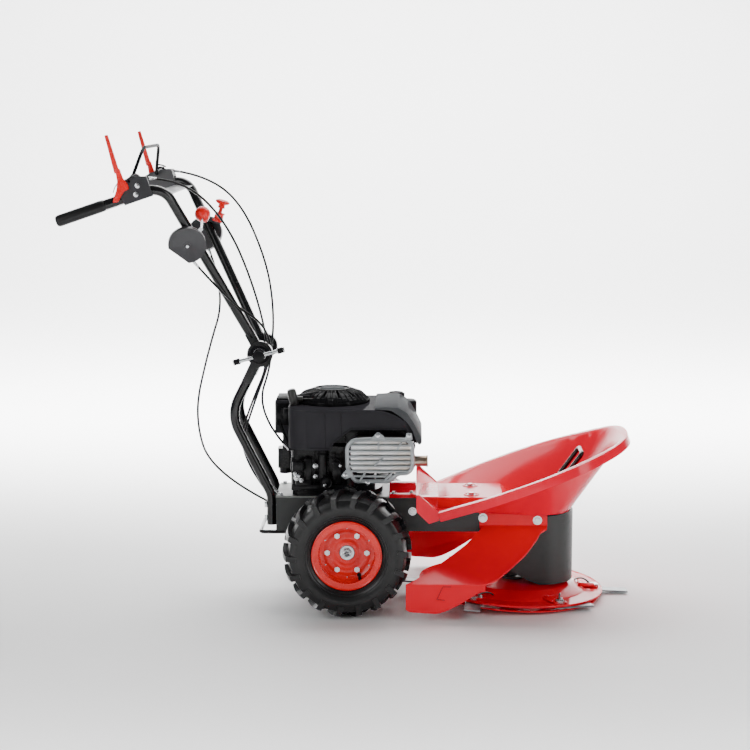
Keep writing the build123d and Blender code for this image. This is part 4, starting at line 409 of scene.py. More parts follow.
def grain_group():
    """Height of a fine moulded or sprayed skin."""
    tree, given, end = group_shell("Grain", "Height")
    fine = shader_node(tree, "TexNoise", {"Detail": 3.0}, given)
    cells = shader_node(tree, "TexVoronoi", None, given)
    both = shader_node(tree, "Math", {1: 0.5}, {0: cells.outputs["Distance"], 2: fine.outputs["Fac"]},
                       operation="MULTIPLY_ADD")
    wire(tree, both.outputs[0], end.inputs["Height"])
    return tree


def brushed_group():
    """Long thin scratches along one direction, from 0 to 1."""
    tree, given, end = group_shell("Brushed", "Lines")
    stretch = shader_node(tree, "Mapping", {"Scale": (1.0, 12.0, 12.0)}, {"Vector": given["Vector"]})
    lines = shader_node(tree, "TexNoise", {"Detail": 5.0},
                        {"Vector": stretch.outputs["Vector"], "Scale": given["Scale"]})
    wire(tree, lines.outputs["Fac"], end.inputs["Lines"])
    return tree


GROUP_MAKERS = {"mottle": mottle_group, "grain": grain_group, "brushed": brushed_group}
GROUPS = {}


def effect(tree, kind, vector, scale):
    """A shared effect as a node, fed with the object's own coordinates."""
    if kind not in GROUPS:
        GROUPS[kind] = GROUP_MAKERS[kind]()
    return shader_node(tree, "Group", {"Scale": scale}, {"Vector": vector}, node_tree=GROUPS[kind])


def finish(name, colour, second, rough, metal=0.0, coat=0.0, patch=9.0, grain=600.0, relief=0.1,
           depth=0.0003, brushed=0.0, tint=None, sheen=0.5):
    """Surface finish: colour drifting to second in patches, uneven gloss and a fine relief."""
    material = bpy.data.materials.new(name)
    material.use_nodes = True
    tree = material.node_tree
    shader = tree.nodes["Principled BSDF"]
    for socket, value in (("Metallic", metal), ("Coat Weight", coat), ("Specular IOR Level", sheen),
                          ("Coat Roughness", COAT_ROUGHNESS)):
        shader.inputs[socket].default_value = value
    place = tree.nodes.new("ShaderNodeTexCoord").outputs["Object"]
    patches = effect(tree, "mottle", place, patch)
    base = shader_node(tree, "Mix", {"A": (*colour, 1.0), "B": (*second, 1.0)},
                       {"Factor": patches.outputs["Patches"]}, data_type="RGBA").outputs["Result"]
    if tint is not None:
        low, high, shade = tint
        split = shader_node(tree, "SeparateXYZ", None, {"Vector": place})
        ramp = shader_node(tree, "MapRange", {"From Min": low, "From Max": high},
                           {"Value": split.outputs["X"]})
        base = shader_node(tree, "Mix", {"B": (*shade, 1.0)},
                           {"Factor": ramp.outputs["Result"], "A": base}, data_type="RGBA").outputs["Result"]
    wire(tree, base, shader.inputs["Base Color"])
    gloss = shader_node(tree, "MapRange", {"To Min": rough[0], "To Max": rough[1]},
                        {"Value": patches.outputs["Specks"]})
    wire(tree, gloss.outputs["Result"], shader.inputs["Roughness"])
    if brushed:
        height = effect(tree, "brushed", place, brushed).outputs["Lines"]
    else:
        height = effect(tree, "grain", place, grain).outputs["Height"]
    bump = shader_node(tree, "Bump", {"Strength": relief, "Distance": depth}, {"Height": height})
    wire(tree, bump.outputs["Normal"], shader.inputs["Normal"])
    return material


# kind: label, colour or the setting that holds it, second colour or its share of the first, roughness, rest
FINISHES = {
    "cover_red": ("Cover red paint", "cover_red", 0.86, (0.15, 0.22),
                  dict(coat=0.06, patch=3.0, grain=1400.0, relief=0.03, sheen=0.16)),
    "gloss_red": ("Gloss red paint", "sheet_red", 0.86, (0.15, 0.22),
                  dict(coat=0.06, patch=3.0, grain=1400.0, relief=0.03, sheen=0.16)),
    "wheel_red": ("Wheel red enamel", (0.78, 0.010, 0.006), (0.66, 0.005, 0.004), (0.22, 0.34),
                  dict(coat=0.25, patch=22.0, grain=900.0, relief=0.06, sheen=0.35)),
    "powder_grey": ("Powder coat grey", "beam_grey", (0.018, 0.020, 0.020), (0.42, 0.52),
                    dict(patch=5.0, grain=1500.0, relief=0.22)),
    "pale_plate": ("Pale plate", (0.20, 0.21, 0.20), (0.15, 0.16, 0.15), (0.38, 0.5), dict(patch=18.0)),
    "tube_black": ("Gloss black paint", "tube_black", 0.82, (0.2, 0.3),
                   dict(coat=0.2, patch=12.0, grain=1300.0, relief=0.05, sheen=0.3)),
    "zinc": ("Bright zinc", (0.66, 0.67, 0.68), (0.52, 0.54, 0.56), (0.24, 0.4),
             dict(metal=1.0, patch=60.0, relief=0.08)),
    "yellow_zinc": ("Yellow zinc", (0.75, 0.55, 0.20), (0.62, 0.36, 0.12), (0.25, 0.4),
                    dict(metal=1.0, patch=90.0, relief=0.08)),
    "knife_steel": ("Ground knife steel", (0.26, 0.27, 0.28), (0.18, 0.19, 0.20), (0.34, 0.48),
                    dict(metal=0.9, patch=40.0, brushed=60.0, relief=0.25)),
    "dark_steel": ("Oiled dark steel", (0.14, 0.14, 0.145), (0.08, 0.08, 0.085), (0.3, 0.45),
                   dict(metal=0.9, patch=35.0, relief=0.12)),
    "cast_alloy": ("Cast alloy", (0.45, 0.46, 0.47), (0.32, 0.33, 0.34), (0.42, 0.58),
                   dict(metal=0.85, patch=45.0, grain=500.0, relief=0.4)),
    "cast_iron": ("Painted cast iron", (0.03, 0.03, 0.031), (0.02, 0.02, 0.021), (0.45, 0.6),
                  dict(patch=30.0, grain=420.0, relief=0.45)),
    "engine_black": ("Engine black", (0.005, 0.005, 0.0055), (0.011, 0.011, 0.012), (0.24, 0.42),
                     dict(coat=0.08, patch=38.0, grain=700.0, relief=0.3, sheen=0.12)),
    "shroud_grey": ("Shroud grey plastic", "shroud_grey", 0.86, (0.42, 0.52),
                    dict(patch=7.0, grain=1600.0, relief=0.18, sheen=0.0, coat=0.07)),
    "trim_grey": ("Trim grey plastic", "trim_grey", (0.060, 0.063, 0.067), (0.44, 0.54),
                  dict(patch=12.0, grain=1600.0, sheen=0.0, coat=0.05)),
    "soft_black": ("Moulded black plastic", (0.007, 0.007, 0.008), (0.012, 0.012, 0.013), (0.38, 0.52),
                   dict(patch=25.0, grain=1300.0, relief=0.28, sheen=0.0, coat=0.14)),
    "olive_grip": ("Olive grip plastic", (0.020, 0.020, 0.018), (0.014, 0.014, 0.013), (0.36, 0.48),
                   dict(patch=28.0, grain=1200.0, relief=0.2)),
    "guard_silver": ("Silver guard paint", "guard_grey", (0.25, 0.27, 0.28), (0.34, 0.46),
                     dict(metal=0.35, patch=24.0, grain=900.0, relief=0.14)),
    "muffler_tin": ("Muffler tin", (0.60, 0.61, 0.62), (0.48, 0.44, 0.41), (0.3, 0.46),
                    dict(metal=0.9, patch=30.0, relief=0.2, tint=(0.10, 0.19, (0.36, 0.27, 0.20)))),
    "tyre_rubber": ("Tyre rubber", "rubber_black", (0.008, 0.008, 0.0085), (0.30, 0.52),
                    dict(patch=14.0, grain=380.0, relief=0.3, depth=0.0005, sheen=0.4)),
    "grip_rubber": ("Grip rubber", (0.004, 0.004, 0.0045), 0.82, (0.34, 0.46),
                    dict(patch=30.0, grain=900.0, relief=0.3, sheen=0.3)),
    "belt_rubber": ("Belt rubber", (0.02, 0.02, 0.021), 0.82, (0.55, 0.7), dict(patch=50.0, relief=0.4)),
    "jacket": ("Cable jacket", (0.003, 0.003, 0.0034), 0.82, (0.34, 0.44),
               dict(patch=60.0, grain=1800.0, relief=0.06, sheen=0.2)),
    # dark red of the lines that paint the shade along the deflector tabs' outline
    "seam_red": ("Seam red", (0.10, 0.0004, 0.002), 0.82, (0.4, 0.5), dict(patch=20.0, sheen=0.2)),
    "bracket_grey": ("Bracket grey", (0.030, 0.030, 0.034), 0.82, (0.36, 0.46),
                     dict(coat=0.1, patch=20.0, grain=1200.0, relief=0.12, sheen=0.35)),
    "lever_red": ("Lever red plastic", "lever_red", (0.66, 0.005, 0.004), (0.26, 0.36),
                  dict(coat=0.1, patch=26.0, grain=1400.0, relief=0.12, sheen=0.35)),
    "pale_floor": ("Pale floor", (0.92, 0.92, 0.92), (0.90, 0.90, 0.90), (0.6, 0.7),
                   dict(patch=1.0, relief=0.02)),
}


def finish_of(kind):
    """Finish from the table, made when it is first asked for."""
    label, colour, second, rough, rest = FINISHES[kind]
    if label not in bpy.data.materials:
        if isinstance(colour, str):
            colour = tuple(getattr(bpy.context.scene.mower_paints, colour))
        if isinstance(second, float):
            second = tuple(c * second for c in colour)
        finish(label, colour, second, rough, **rest)
    return bpy.data.materials[label]


# ---------------------------------------------------------------- finishes of the carried-over nodes
NODE_FINISH = {
    "powder_grey": ("chassis_beam",),
    "pale_plate": ("engine_plate",),
    "tube_black": ("rear_loop", "lifting_loop", "lower_handle_tubes", "upper_handle", "dead_man_bar"),
    "bracket_grey": ("control_brackets",),
    "cast_alloy": ("gearbox_case", "flywheel"),
    "cast_iron": ("drum_pulley", "spindle_housing"),
    "engine_black": ("engine_block", "cylinder_head", "carburettor"),
    "shroud_grey": ("engine_shroud", "air_filter_cover"),
    "soft_black": ("starter_housing", "fuel_tank", "fuel_cap", "oil_cap", "control_discs"),
    "olive_grip": ("starter_grip",),
    "muffler_tin": ("muffler",),
    "guard_silver": ("muffler_guard",),
    "cover_red": ("tub",),
    "gloss_red": ("right_deflector", "left_deflector", "belt_guard", "cutting_disc", "skid_dish"),
    "wheel_red": ("right_rim", "left_rim"),
    "tyre_rubber": ("right_tyre", "left_tyre"),
    "grip_rubber": ("handle_grips",),
    "belt_rubber": ("drive_belts",),
    "jacket": ("control_cables",),
    "lever_red": ("right_lever", "left_lever", "stop_plunger"),
    "zinc": ("frame_bolts", "right_wheel_bolts", "left_wheel_bolts", "knife_bolts", "clamp_bar", "spark_plug",
             "ball_lever"),
    "dark_steel": ("right_half_shaft", "left_half_shaft", "crankshaft", "engine_pulleys", "gearbox_input",
                   "spindle"),
    "knife_steel": tuple(f"knife_{i}" for i in range(1, 7)),
}


class MOWER_OT_finishes(bpy.types.Operator):
    """Give every node carried over from the frame its own finish"""
    bl_idname = "mower.finishes"
    bl_label = "Finishes of the frame's nodes"

    def execute(self, context):
        for kind, names in NODE_FINISH.items():
            for node in names:
                mesh = NODES[node].data
                mesh.materials.clear()
                mesh.materials.append(finish_of(kind))
        return {"FINISHED"}


# ---------------------------------------------------------------- stage
WHITE = (1.0, 1.0, 1.0, 1.0)
CAMERA_PLACE = (0.1615, -4.9805, 1.3199)
CAMERA_TURN = (81.72, 0.0, 1.2)


class MOWER_OT_stage(bpy.types.Operator):
    """Floor, soft studio lights and the camera"""
    bl_idname = "mower.stage"
    bl_label = "Stage"

    def execute(self, context):
        scene = context.scene
        wish = scene.mower_stage
        lens = bpy.data.cameras.new("View")
        lens.lens = wish.focal_length
        lens.sensor_width = 36.0
        lens.clip_end = 100.0
        camera = bpy.data.objects.new("View", lens)
        camera.location = CAMERA_PLACE
        camera.rotation_euler = tuple(radians(angle) for angle in CAMERA_TURN)
        scene.collection.objects.link(camera)
        scene.camera = camera

        # floor that rises in one sweep behind the machine
        half = wish.floor_size / 2
        row = [(-half, 0.0), (half * 0.45, 0.0), (half * 0.62, 0.25), (half * 0.75, 1.0),
               (half * 0.80, 2.2), (half * 0.82, half)]
        bm = bmesh.new()
        drawn_sheet(bm, [(-half, y, z) for y, z in rounded(row, 0.6, 6, False)], (2 * half, 0, 0))
        bmesh.ops.recalc_face_normals(bm, faces=bm.faces)
        mesh = bpy.data.meshes.new("floor")
        bm.to_mesh(mesh)
        bm.free()
        mesh.shade_smooth()
        mesh.materials.append(finish_of("pale_floor"))
        floor = bpy.data.objects.new("floor", mesh)
        scene.collection.objects.link(floor)

        # white surroundings, bright to the camera and dim to the machine
        world = bpy.data.worlds.new("Studio")
        world.use_nodes = True
        tree = world.node_tree
        dim = tree.nodes["Background"]
        dim.inputs["Color"].default_value = WHITE
        dim.inputs["Strength"].default_value = 0.2
        bright = shader_node(tree, "Background", {"Color": WHITE, "Strength": 2.4})
        seen = tree.nodes.new("ShaderNodeLightPath").outputs["Is Camera Ray"]
        either = shader_node(tree, "MixShader", None, {"Fac": seen, 1: dim.outputs["Background"],
                                                       2: bright.outputs["Background"]})
        wire(tree, either.outputs["Shader"], tree.nodes["World Output"].inputs["Surface"])
        scene.world = world

        # name, power, size, place, aim and spread of each soft light
        lamps = (
            ("Overhead", wish.key_power, (3.2, 1.7), (0.2, 1.2, 3.0), (0.1, 0.0, 0.4), 180.0),
            ("Front", wish.fill_power, (1.6, 2.4), (-2.6, -3.4, 1.9), (0.0, 0.0, 0.5), 180.0),
            ("Strip", wish.fill_power * 0.9, (0.7, 2.6), (3.0, -2.2, 1.5), (0.3, 0.0, 0.4), 180.0),
            ("Backdrop", wish.backdrop_power, (7.0, 1.6), (0.0, 1.6, 4.2), (0.0, 5.2, 0.6), 110.0),
            ("Apron", wish.backdrop_power * 0.2, (6.0, 1.2), (0.0, -2.3, 3.2), (0.0, -2.6, 0.0), 66.0),
            ("Ground", wish.backdrop_power * 0.4, (6.0, 1.2), (0.0, 3.4, 2.6), (0.0, 2.6, 0.0), 76.0),
        )
        for name, power, size, at, aim, spread in lamps:
            light = bpy.data.lights.new(name, "AREA")
            light.shape = "RECTANGLE"
            light.size, light.size_y = size
            light.energy = power
            light.spread = radians(spread)
            lamp = bpy.data.objects.new(name, light)
            lamp.location = at
            lamp.rotation_euler = (Vector(aim) - Vector(at)).to_track_quat("-Z", "Y").to_euler()
            scene.collection.objects.link(lamp)
        return {"FINISHED"}


# ---------------------------------------------------------------- cables
# points of each cable, from the handlebar down
CABLE_ROUTES = (
    ((-403.743, -191.469, 916.637), (-310, -150, 800), (-232, -66, 742), (-208, -54, 650), (-260, -50, 500),
     (-169, -56, 402)),
    ((-504.2, -256.3, 1126.5), (-425, -196, 1122), (-322, -112, 1010), (-250, -74, 820), (-218, -40, 645),
     (-272, -38, 520), (-312, -42, 395), (-200, -52, 286.4)),
    ((-504.2, 256.3, 1126.5), (-420, 206, 1118), (-313, 156, 1051), (-238, 102, 893), (-213, 40, 760),
     (-218, -20, 645), (-272, -14, 500), (-312, -14, 375), (-205.4, -26, 250)),
    ((-403.743, 191.469, 916.637), (-353, 150, 800), (-400, 104, 640), (-435, 58, 470), (-380, 14, 320),
     (-205.6, 8, 236)),
)


class MOWER_OT_cables(bpy.types.Operator):
    """Control cables from the handlebar to the engine and the gearbox, with their end ferrules"""
    bl_idname = "mower.cables"
    bl_label = "Control cables"

    def execute(self, context):
        radius = context.scene.mower_sizes.cable_radius
        for number, route in enumerate(CABLE_ROUTES, 1):
            curve, spline = round_bar([Vector(at) * MM for at in route], radius, 3, "NURBS")
            curve.resolution_u = 28
            spline.order_u = 3
            spline.use_endpoint_u = True
            mesh = mesh_of(curve)
            mesh.name = f"control_cable_{number}"
            mesh.shade_smooth()
            mesh.set_sharp_from_angle(angle=radians(50))
            mesh.materials.clear()
            mesh.materials.append(finish_of("jacket"))
            cable = bpy.data.objects.new(mesh.name, mesh)
            context.scene.collection.objects.link(cable)
            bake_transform(cable)
            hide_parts("control_cables")
            for end, inner, body in ((0, 1, "handle"), (-1, -2, "frame")):
                at = Vector(route[end])
                along = (Vector(route[inner]) - at).normalized()
                bm = bmesh.new()
                drum(bm, at + along * 1.0, at + along * 15.0, 4.0, 3.6, sides=20, edge=0.5)
                drum(bm, at + along * 15.0, at + along * 24.0, 3.7, 3.0, sides=20, edge=0.4)
                piece(f"cable_{number}_ferrule_{body}", bm, "zinc", body)
        return {"FINISHED"}


# ---------------------------------------------------------------- wheels
TYRE_RINGS = ((99.5, 55.2), (106.0, 58.4))       # radius, and how far out from the hub's middle
TYRE_RING = ((-1.6, -1.6), (0.5, -0.8), (0.9, 0), (0.5, 0.8), (-1.0, 1.6))
RIM_DISH = ((50.4, 90.6), (51.4, 88.5), (48.6, 84.0), (45.2, 78.5), (31.0, 73.5), (15.0, 70.5),
            (11.2, 64.0), (10.8, 60.0), (12.0, 57.5), (12.0, 45.5), (10.8, 42.8), (10.4, 34.5),
            (12.2, 31.0), (13.0, 28.0), (13.0, 20.0), (10.2, 20.0), (10.2, 28.0), (9.9, 62.0),
            (13.5, 71.8), (30.0, 75.2), (43.5, 80.5), (46.5, 86.0), (48.6, 91.0))
WHEEL_STEPS = 96
VALVE_ANGLE = -62.0


class MOWER_OT_wheels(bpy.types.Operator):
    """Rings on the tyres, dished rims, valves, rivets and castle nuts of the two wheels"""
    bl_idname = "mower.wheels"
    bl_label = "Wheel details"

    def execute(self, context):
        for name, side in SIDES:
            hub = middle(f"{name}_tyre")
            out = Vector((0, side, 0))
            body = f"{name}_wheel"
            bm = bmesh.new()
            for radius, rise in TYRE_RINGS:
                ring = [(rise + up, radius + wide) for up, wide in TYRE_RING]
                turned(bm, ring, hub, out, WHEEL_STEPS, closed=True)
            piece(f"{name}_tyre_rings", bm, "tyre_rubber", body)

            bm = bmesh.new()
            turned(bm, RIM_DISH, hub, out, WHEEL_STEPS, closed=True)
            piece(f"{name}_rim_dish", bm, "wheel_red", body)

            bm = bmesh.new()
            arm = spoke(VALVE_ANGLE)
            foot = hub + arm * 66.0 + out * 11.0
            collar, cap = foot + out * 5.0, foot + out * 20.0 + arm * 5.0
            drum(bm, foot, collar + arm * 1.0, 6.0, 4.4, edge=1.0)
            drum(bm, collar, cap, 3.6, edge=0.6)
            drum(bm, cap, foot + out * 27.0 + arm * 7.3, 4.6, 4.0, 16, 0.8)
            piece(f"{name}_valve", bm, "soft_black", body)

            bm = bmesh.new()
            for i in range(6):
                foot = hub + spoke(30.0 + 60.0 * i) * 65.0 + out * 9.0
                drum(bm, foot, foot + out * 4.0, 2.8, 2.0, 16, 0.5)
            piece(f"{name}_rim_rivets", bm, "zinc", body)

            bm, axle = bmesh.new(), bmesh.new()
            nut = hub + out * 19.5
            drum(bm, nut - out * 5.0, nut + out * 1.6, 13.4, sides=6, edge=1.0)
            turned(bm, [(1.0, 7.4), (5.4, 7.8), (5.4, 9.2), (1.0, 9.6)], nut, out, 36, closed=True)
            for i in range(6):
                arm = spoke(60.0 * i + 15.0)
                block(bm, nut + arm * 9.0 + out * 4.4, (4.6, 5.2, 6.4), 0.7, basis(ORIGIN, out, arm))
            pin = Vector((11.0, 0, 3.0))
            drum(bm, nut - pin + out * 4.0, nut + pin + out * 4.0, 1.5, sides=12)
            drum(axle, nut, nut + out * 3.4, 7.3, sides=28, edge=1.0)
            piece(f"{name}_axle_end", axle, "dark_steel", body)
            piece(f"{name}_castle_nut", bm, "zinc", body)
        return {"FINISHED"}


# ---------------------------------------------------------------- engine
SHROUD_SKIN = -149.4              # just inside the shroud's right wall; its creases rise from here
SHROUD_CREASES = (((-120, 519.2), (60, 519.2), (96, 512), (118, 498), (117, 496.6), (95, 510.2), (60, 517.2),
                   (-120, 517.2)),
                  ((-110, 421), (-57, 421), (-46, 441), (-22, 461), (-2, 475), (140, 475), (163, 436),
                   (165, 438), (141.5, 477.4), (-2.8, 477.4), (-23.6, 463), (-48, 442.6), (-58.4, 423.2),
                   (-110, 423.2)))
SHROUD_BAND = ((58, 530), (92, 532), (121, 531), (144, 517), (160, 493), (174, 466), (183, 446), (181, 436),
               (172, 434), (166, 446), (157, 472), (142, 494), (126, 508), (101, 524), (60, 526))
DOME_X = -56.0
DOME_RIM = ((-26.0, 97.6), (-29.5, 99.2), (-33.5, 99.2), (-35.0, 97.0), (-33.0, 94.0), (-27.0, 94.0))
DOME_RING = ((0.8, 43.0), (2.0, 45.0), (1.6, 48.5), (-2.4, 49.5), (-2.6, 43.0))
DOME_CAP = ((-2.0, 0.01), (3.2, 0.01), (3.0, 22.0), (2.2, 31.0), (0.6, 34.0), (-2.0, 34.0))
GRIP_LEAN = (-0.24, 0.0, 1.0)
GRIP_BAR = ((-19.0, 8.0), (-21.4, 9.4), (-21.4, 11.2), (-19.0, 12.0), (-4.0, 12.6), (14.0, 12.2),
            (19.0, 10.0), (20.6, 6.0), (20.8, 0.01))
GRIP_HOLLOW = ((-19.0, 8.0), (-12.0, 7.0), (-12.0, 0.01))
GUARD_FACE = -195.0
GUARD_BACK = GUARD_FACE + 3.0
GUARD_OUTLINE = ((-11, 434), (3, 452), (46, 455), (146, 454), (158, 440), (157, 378), (145, 366),
                 (120, 365), (97, 345), (9, 345), (-10, 380))
# height, rear end and front end of each slat
GUARD_SLATS = ((439, -8, 156), (424, -10, 157), (410, -10, 157), (397, -10, 157), (384.5, -9, 157),
               (371.5, -4, 150), (358, 3, 112))
GUARD_TABS = ((((52, 456), (88, 456), (84, 464), (72, 474), (66, 474), (57, 464)), 2.5),
              (((-10, 380), (-27, 360), (-16, 350), (2, 358), (2, 372)), 3.0),
              (((138, 455), (158, 455), (156, 472), (142, 473)), 2.5))
GUARD_STAYS = ((84, 346, 104, 367), (22, 346, 35, 367), (61, 388, 81, 406), (70, 430, 70, 447),
               (119, 430, 129, 447))
CRANKCASE_FOOT, BELT_GUARD_FLANGE, PLATE_TOP = 298.2, 290.2, 284.2    # heights of the bolts' seats
PIPE_END, PIPE_SLEEVE = (194, -122, 386), (160, -122, 386)
PIPE_LIP = ((0, 14.4), (1.6, 15.6), (3.2, 14.8), (3.2, 12.4), (0, 12.4))
PIPE_COLLAR = ((0, 14.3), (1.4, 17.4), (4.0, 17.4), (5.0, 14.3))


class MOWER_OT_engine_top(bpy.types.Operator):
    """Shroud trim, starter dome and its pull grip, air cleaner fittings and the ribs of the caps"""
    bl_idname = "mower.engine_top"
    bl_label = "Engine top"

    def execute(self, context):
        # light band over the crown and down the front slope
        bm = bmesh.new()
        side_plate(bm, rounded(SHROUD_BAND, 6.0, 3), 97.0, 248.5, 1.6, 3)
        piece("shroud_trim", bm, "trim_grey", "frame")

        # creases pressed along the side wall and the seam under the crown
        bm = bmesh.new()
        for x, top, foot in ((-70, 517, 424), (-28, 517, 452)):
            side_plate(bm, [(x - 1.6, foot), (x + 1.6, foot), (x + 1.0, top), (x - 1.0, top)],
                       SHROUD_SKIN, 1.5, 0.6)
        for outline, corner, depth in zip(SHROUD_CREASES, (1.0, 2.0), (1.6, 1.8)):
            side_plate(bm, rounded(outline, corner, 2), SHROUD_SKIN, depth, 0.5)
        piece("shroud_creases", bm, "shroud_grey", "frame")

        # starter dome: ribs in two straight runs from the crown to the rim, and two rings
        dome_top = corners("starter_housing")[1].z
        centre = Vector((DOME_X, 0.0, dome_top))
        bm = bmesh.new()
        for turn in round_turns(context.scene.mower_sizes.dome_ribs):
            arm = ray(turn)
            inner, shoulder, rim = (centre + arm * reach + Vector((0, 0, -drop))
                                    for reach, drop in ((46.0, 0.6), (78.0, 11.6), (95.0, 27.5)))
            for a, b in ((inner, shoulder), (shoulder, rim)):
                way = b - a
                block(bm, (a + b) / 2, (4.2, 5.0, way.length + 1.6), 0.9,
                      basis(ORIGIN, way, arm.cross(Vector(UP))))
        for ring in (DOME_RIM, DOME_RING):
            turned(bm, ring, centre, UP, 72, closed=True)
        piece("dome_ribs", bm, "soft_black", "frame")

        bm = bmesh.new()
        turned(bm, DOME_CAP, centre, UP, 72)
        piece("dome_cap", bm, "trim_grey", "frame")

        # louvres low on the dome's right side and the rope's guide
        bm = bmesh.new()
        for row in range(4):
            for half in (-1, 1):
                tube(bm, [centre + ray(radians(-90.0 + half * (9.0 + k * 7.5))) * (100.0 - row * 7.0)
                          + Vector((0, 0, row * 5.2 - 29.0)) for k in range(7)], 1.5, 2.0, 8)
        block(bm, (DOME_X, -97.0, dome_top - 25.0), (16.0, 12.0, 17.0), 2.0)
        tube(bm, [(-150, -52, 541), (-118, -50, 546), (-92, -44, 551)], 9.0, 12.0, 16)
        block(bm, (-126, -52, 541), (30, 26, 18), 4.0)
        piece("dome_guide", bm, "soft_black", "frame")

        # pull grip: leaning bar with a hollow foot, its nose and the rope
        low, high = corners("starter_grip")
        grip = Vector((low.x + 11.0, low.y + 13.0, (low.z + high.z) / 2))
        bm = bmesh.new()
        lean = Vector(GRIP_LEAN).normalized()
        for outline in (GRIP_BAR, GRIP_HOLLOW):
            turned(bm, outline, grip, lean, 36)
        nose = Vector((grip.x, grip.y, high.z - 27.5))
        drum(bm, nose + Vector((4, 0, 0)), nose + Vector((26, 0, 0)), 9.0, 6.6, 24, 1.0)
        drum(bm, nose + Vector((22, 0, 0)), Vector((high.x - 1.0, nose.y, nose.z)), 1.9, sides=12)
        piece("pull_grip", bm, "olive_grip", "starter_grip", ("starter_grip",))

        # air cleaner: clip band, fluted knob, strut and dust cover lip
        bm = bmesh.new()
        block(bm, (-189, -21.5, 492), (34, 4, 58), 2.0)
        block(bm, (-188, 40, 530), (36, 96, 5), 2.2)
        knob_x, knob_z = -184, 504
        drum(bm, (knob_x, -24, knob_z), (knob_x, -38, knob_z), 8.5, 7.5, 20, 1.2)
        for turn in round_turns(8):
            x, z = knob_x + 8.0 * cos(turn), knob_z + 8.0 * sin(turn)
            drum(bm, (x, -24, z), (x, -37, z), 1.9, sides=10, edge=0.4)
        tube(bm, [(-196, -58, 484), (-186, -62, 455), (-165, -66, 402)], 4.0, 20.0, 10)
        block(bm, (-176, -60, 500), (14, 14, 30), 3.0)
        piece("air_cleaner_fittings", bm, "soft_black", "frame")

        # ribs round the fuel cap and a ring on its top
        cap = middle("fuel_cap")
        cap.z = corners("fuel_cap")[1].z
        bm = bmesh.new()
        for turn in round_turns(20):
            block(bm, Vector((cap.x, cap.y, cap.z - 7.0)) + ray(turn) * 22.6, (2.6, 2.6, 11.0), 0.7,
                  Matrix.Rotation(turn, 4, "Z"))
        turned(bm, [(0.0, 15.0), (1.6, 16.0), (1.6, 18.5), (0.0, 19.5), (-1.0, 17.0)], cap, UP, 48,
               closed=True)
        piece("fuel_cap_ribs", bm, "soft_black", "fuel_cap")

        # wing and ribs of the oil cap
        cap = middle("oil_cap")
        cap.z = corners("oil_cap")[1].z
        bm = bmesh.new()
        block(bm, (cap.x, cap.y, cap.z + 2.0), (5.0, 22.0, 7.0), 1.4)
        for turn in round_turns(14):
            block(bm, Vector((cap.x, cap.y, cap.z - 6.0)) + ray(turn) * 12.6, (2.2, 2.4, 9.0), 0.6,
                  Matrix.Rotation(turn, 4, "Z"))
        piece("oil_cap_wings", bm, "soft_black", "oil_cap")
        return {"FINISHED"}


